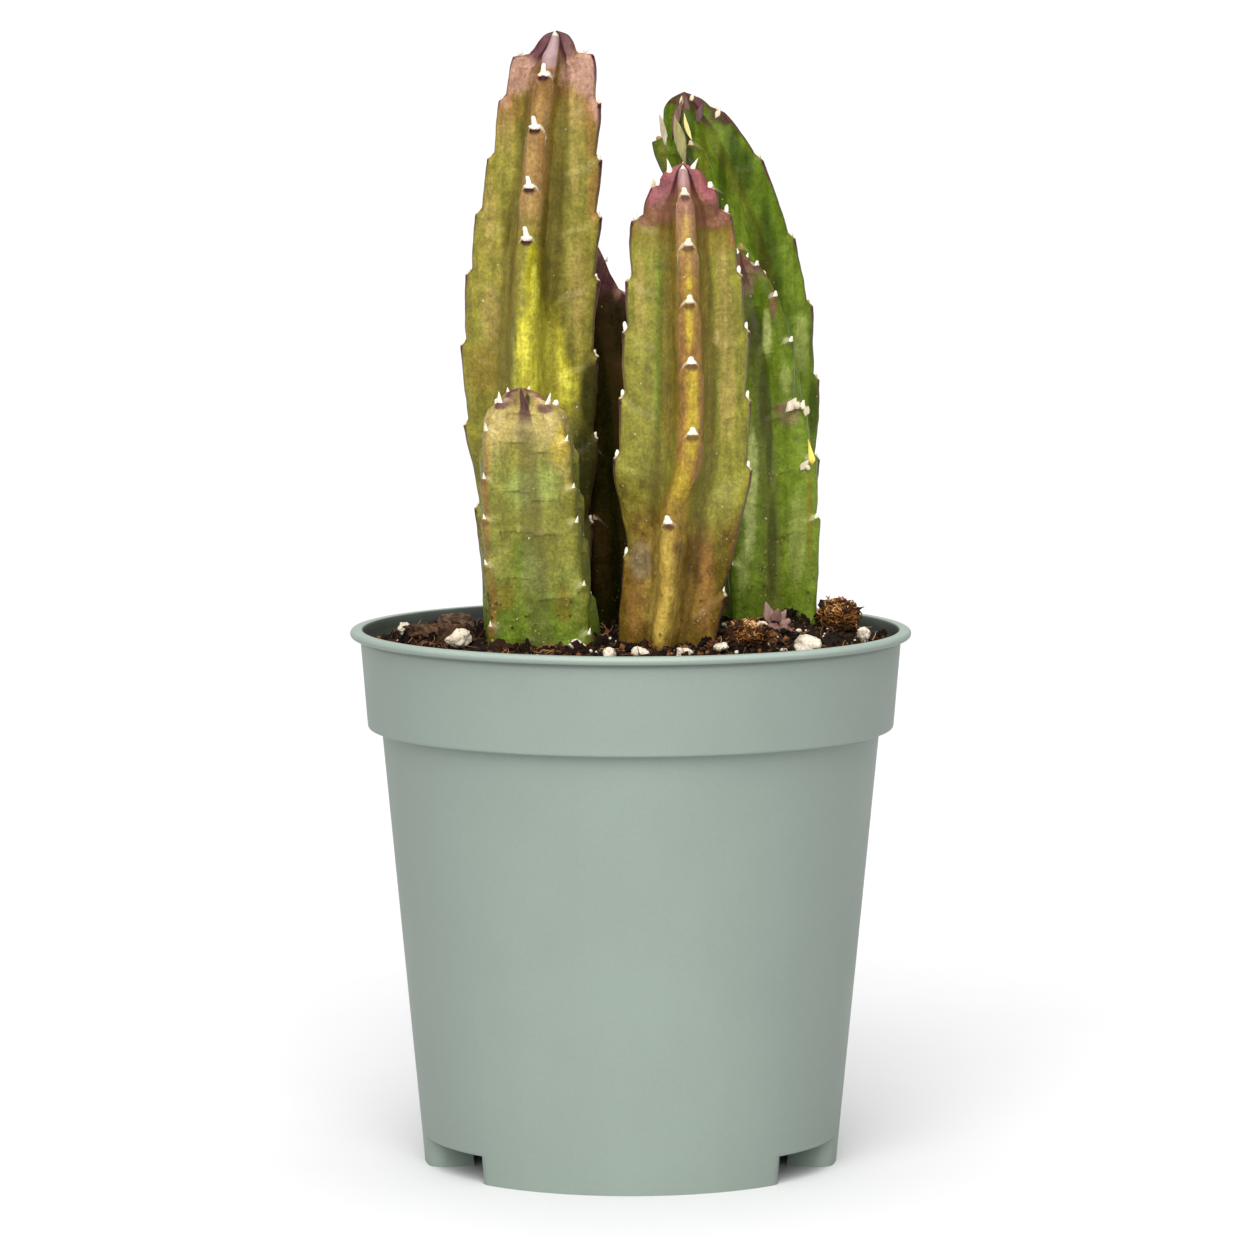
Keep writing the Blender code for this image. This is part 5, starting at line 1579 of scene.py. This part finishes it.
def make_coir():
    """Tufts of coir: a dark crumbly heart in a tangle of short curls."""
    light = (0.80, 0.52, 0.26)
    finish = fibre_finish("coir_fibre", (0.07, 0.024, 0.007), (0.33, 0.135, 0.030), light)
    bright = (0.26, 0.12, 0.04)
    heart = peat_finish("coir_heart", (0.010, 0.004, 0.002), (0.055, 0.022, 0.008), bright)
    points, faces = ball(4)
    for node, draw, centre, size in loose_nodes("coir_tuft_"):
        lump = rough(points, draw, (0.4, 0.7), (0.12, 0.5)) * size * 0.84
        shapes = [Shape(lump + centre, faces, 1, tone=0.45)]
        for index in range(COIR_STRANDS):
            angle = draw.uniform(0.0, math.tau)
            rise = draw.uniform(-0.6, 1.5)
            level = math.cos(rise)
            out = Vector((math.cos(angle) * level, math.sin(angle) * level, math.sin(rise)))
            share = draw.uniform(0.36, 0.47)
            start = Vector([centre[k] + out[k] * size[k] * share for k in range(3)])
            if index % 3:
                path = curl(draw, start, out, draw.uniform(0.4, 1.15))
            else:
                heading = sideways_of(draw, out) + out * draw.uniform(-0.25, 0.15)
                path = wander(draw, start, heading, draw.uniform(0.9, 2.2), 3.0, 7)
            lit = 0.4 + 0.6 * max(0.0, math.sin(rise))
            tone = draw.choice((0.1, 0.2, 0.45, 0.7, 1.0)) * lit
            shapes.append(strand(path, draw.uniform(0.10, 0.23), 4, tone=tone))
        make_piece(node.replace("tuft", "fibres"), shapes, (finish, heart), "coir", [node])


# A dried bud on the soil: shape, foot as x, y and height, lean towards +X, length, half width
# and how worn; the crumpled sheath under it; and a pale curl of root on the coir beside it
SCALES = (
    (HUSK, (29.9, -2.6, 116.4), -0.20, 4.4, 1.20, 0.77),
    (HUSK, (30.7, -3.2, 116.2), 0.12, 3.4, 1.30, 0.80),
    (HUSK, (31.5, -2.4, 116.0), 0.55, 3.4, 1.05, 0.76),
    (NUB, (32.4, -3.4, 115.6), 0.90, 2.2, 1.05, 0.78),
    (NUB, (30.4, -4.6, 114.8), -0.60, 1.9, 1.25, 0.86),
    (NUB, (32.2, -5.4, 114.2), 0.50, 2.4, 1.35, 0.83),
)
SCRAP_CENTRE = (31.6, -5.4, 113.6)
SCRAP_SIZE = (5.6, 3.4, 4.6)
CURL_CENTRE = (27.9, -23.4, 117.5)
CURL_RADIUS = 1.35


def make_dry_bits():
    """A dried bud on the heap, and a pale curl of root."""
    draw = random.Random(f"dry bits {SEED}")
    shapes = []
    for shape, foot, lean, length, width, worn in SCALES:
        up = Vector((lean, draw.uniform(-0.7, 0.4), 0.8)).normalized()
        shapes.append(spur(draw, shape, Vector(foot), up, FRONT, length, width, worn, 0))
    points, faces = ball(4)
    scrap = rough(points, draw, (0.45, 0.8), (0.13, 0.4)) * np.array(SCRAP_SIZE)
    shapes.append(Shape(scrap + np.array(SCRAP_CENTRE), faces, worn=0.90))
    turns = np.linspace(0.4, 5.2, 22)
    x, y, height = CURL_CENTRE
    spread = CURL_RADIUS * (0.6 + 0.12 * turns)
    level = height + spread * np.sin(turns) * 0.7
    path = np.stack([x + spread * np.cos(turns), y + 0.3 * turns, level], 1)
    shapes.append(strand(path, 0.36, 8, worn=0.40))
    return make_piece("dry_leaf_bits", shapes, (husk_finish(),), "bark")


def make_soil_fibres():
    """Short brown fibres lying loose on the peat."""
    draw = random.Random(f"fibres {SEED}")
    light = (0.42, 0.22, 0.09)
    finish = fibre_finish("peat_fibre", (0.05, 0.020, 0.008), (0.20, 0.095, 0.035), light)
    shapes = []
    for _ in range(LOOSE_FIBRES):
        x, y = soil_spot(draw, 0.8, STREWN_REACH)
        angle = draw.uniform(0.0, math.tau)
        start = (x, y, soil_height(x, y) + draw.uniform(0.5, 1.1))
        heading = (math.cos(angle), math.sin(angle), draw.uniform(-0.12, 0.12))
        path = wander(draw, start, heading, draw.uniform(1.4, 4.2), 0.9)
        shapes.append(strand(path, draw.uniform(0.07, 0.15), tone=draw.random() ** 2))
    return make_piece("peat_fibres", shapes, (finish,), "peat")


# The floor's half width in metres
FLOOR_REACH = 400.0


def make_floor():
    """A wide pale floor. It is only a stage."""
    paint = Paint("floor_pale")
    colour = paint.tinted((0.76, 0.76, 0.76), paint.noise(30.0, 2.0), 0.995, 1.005)
    mesh = bpy.data.meshes.new("floor")
    corners = ((-1, -1), (1, -1), (1, 1), (-1, 1))
    mesh.from_pydata([(x * FLOOR_REACH, y * FLOOR_REACH, 0.0) for x, y in corners], [], [(0, 1, 2, 3)])
    mesh.materials.append(paint.finish(colour, 0.9))
    floor = linked("floor", mesh)
    floor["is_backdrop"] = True


# Light: each soft lamp as azimuth from the front and elevation in degrees, the angles at which
# it is full and gone, and its strength
SURROUND = 0.02
LAMPS = (
    (-5.5, 33.0, 9.0, 37.0, 5.9),
    (0.0, 90.0, 12.0, 46.0, 2.4),
    (180.0, 10.0, 15.0, 46.0, 0.75),
)


def make_light():
    """Soft studio light: broad lamps in front and overhead, and a bright wall behind."""
    paint = Paint("studio", "worlds")
    bpy.context.scene.world = paint.data
    total = SURROUND
    for azimuth, elevation, full, gone, strength in LAMPS:
        across = math.radians(azimuth)
        up = math.radians(elevation)
        aim = (math.sin(across) * math.cos(up), -math.cos(across) * math.cos(up), math.sin(up))
        sides = {0: paint.where["Generated"], 1: aim}
        facing = paint.add("VectorMath", sides, operation="DOT_PRODUCT")["Value"]
        edge = [math.cos(math.radians(angle)) for angle in (gone, full)]
        total = paint.plus(paint.between(facing, *edge, 0.0, strength), total)
    background = paint.tree.nodes["Background"].inputs
    paint.put(total, background["Strength"])
    paint.put((1.0, 1.0, 1.0), background["Color"])
    bpy.context.scene.view_settings.view_transform = "Standard"


def make_camera():
    data = bpy.data.cameras.new("camera")
    data.sensor_width = SENSOR_WIDTH
    data.lens = FOCAL_PIXELS / PHOTO_PIXELS * SENSOR_WIDTH
    camera = linked("camera", data)
    camera.location = (CAMERA_X * MM, -CAMERA_DISTANCE * MM, CAMERA_HEIGHT * MM)
    camera.rotation_euler = (math.pi / 2 - CAMERA_PITCH, 0.0, 0.0)
    bpy.context.scene.camera = camera


def write_sizes():
    """Works out the box of the solids and of the finished model, as plain lists."""
    boxes = {"cad": CAD_BOX, "visual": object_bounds()}
    plain = {name: [list(corner) for corner in box] for name, box in boxes.items()}


make_camera()
make_light()
make_floor()
make_pot()
make_soil()
make_stems()
make_crumbs()
make_perlite()
make_perlite_dust()
make_bark()
make_coir()
make_dry_bits()
make_soil_fibres()
write_sizes()
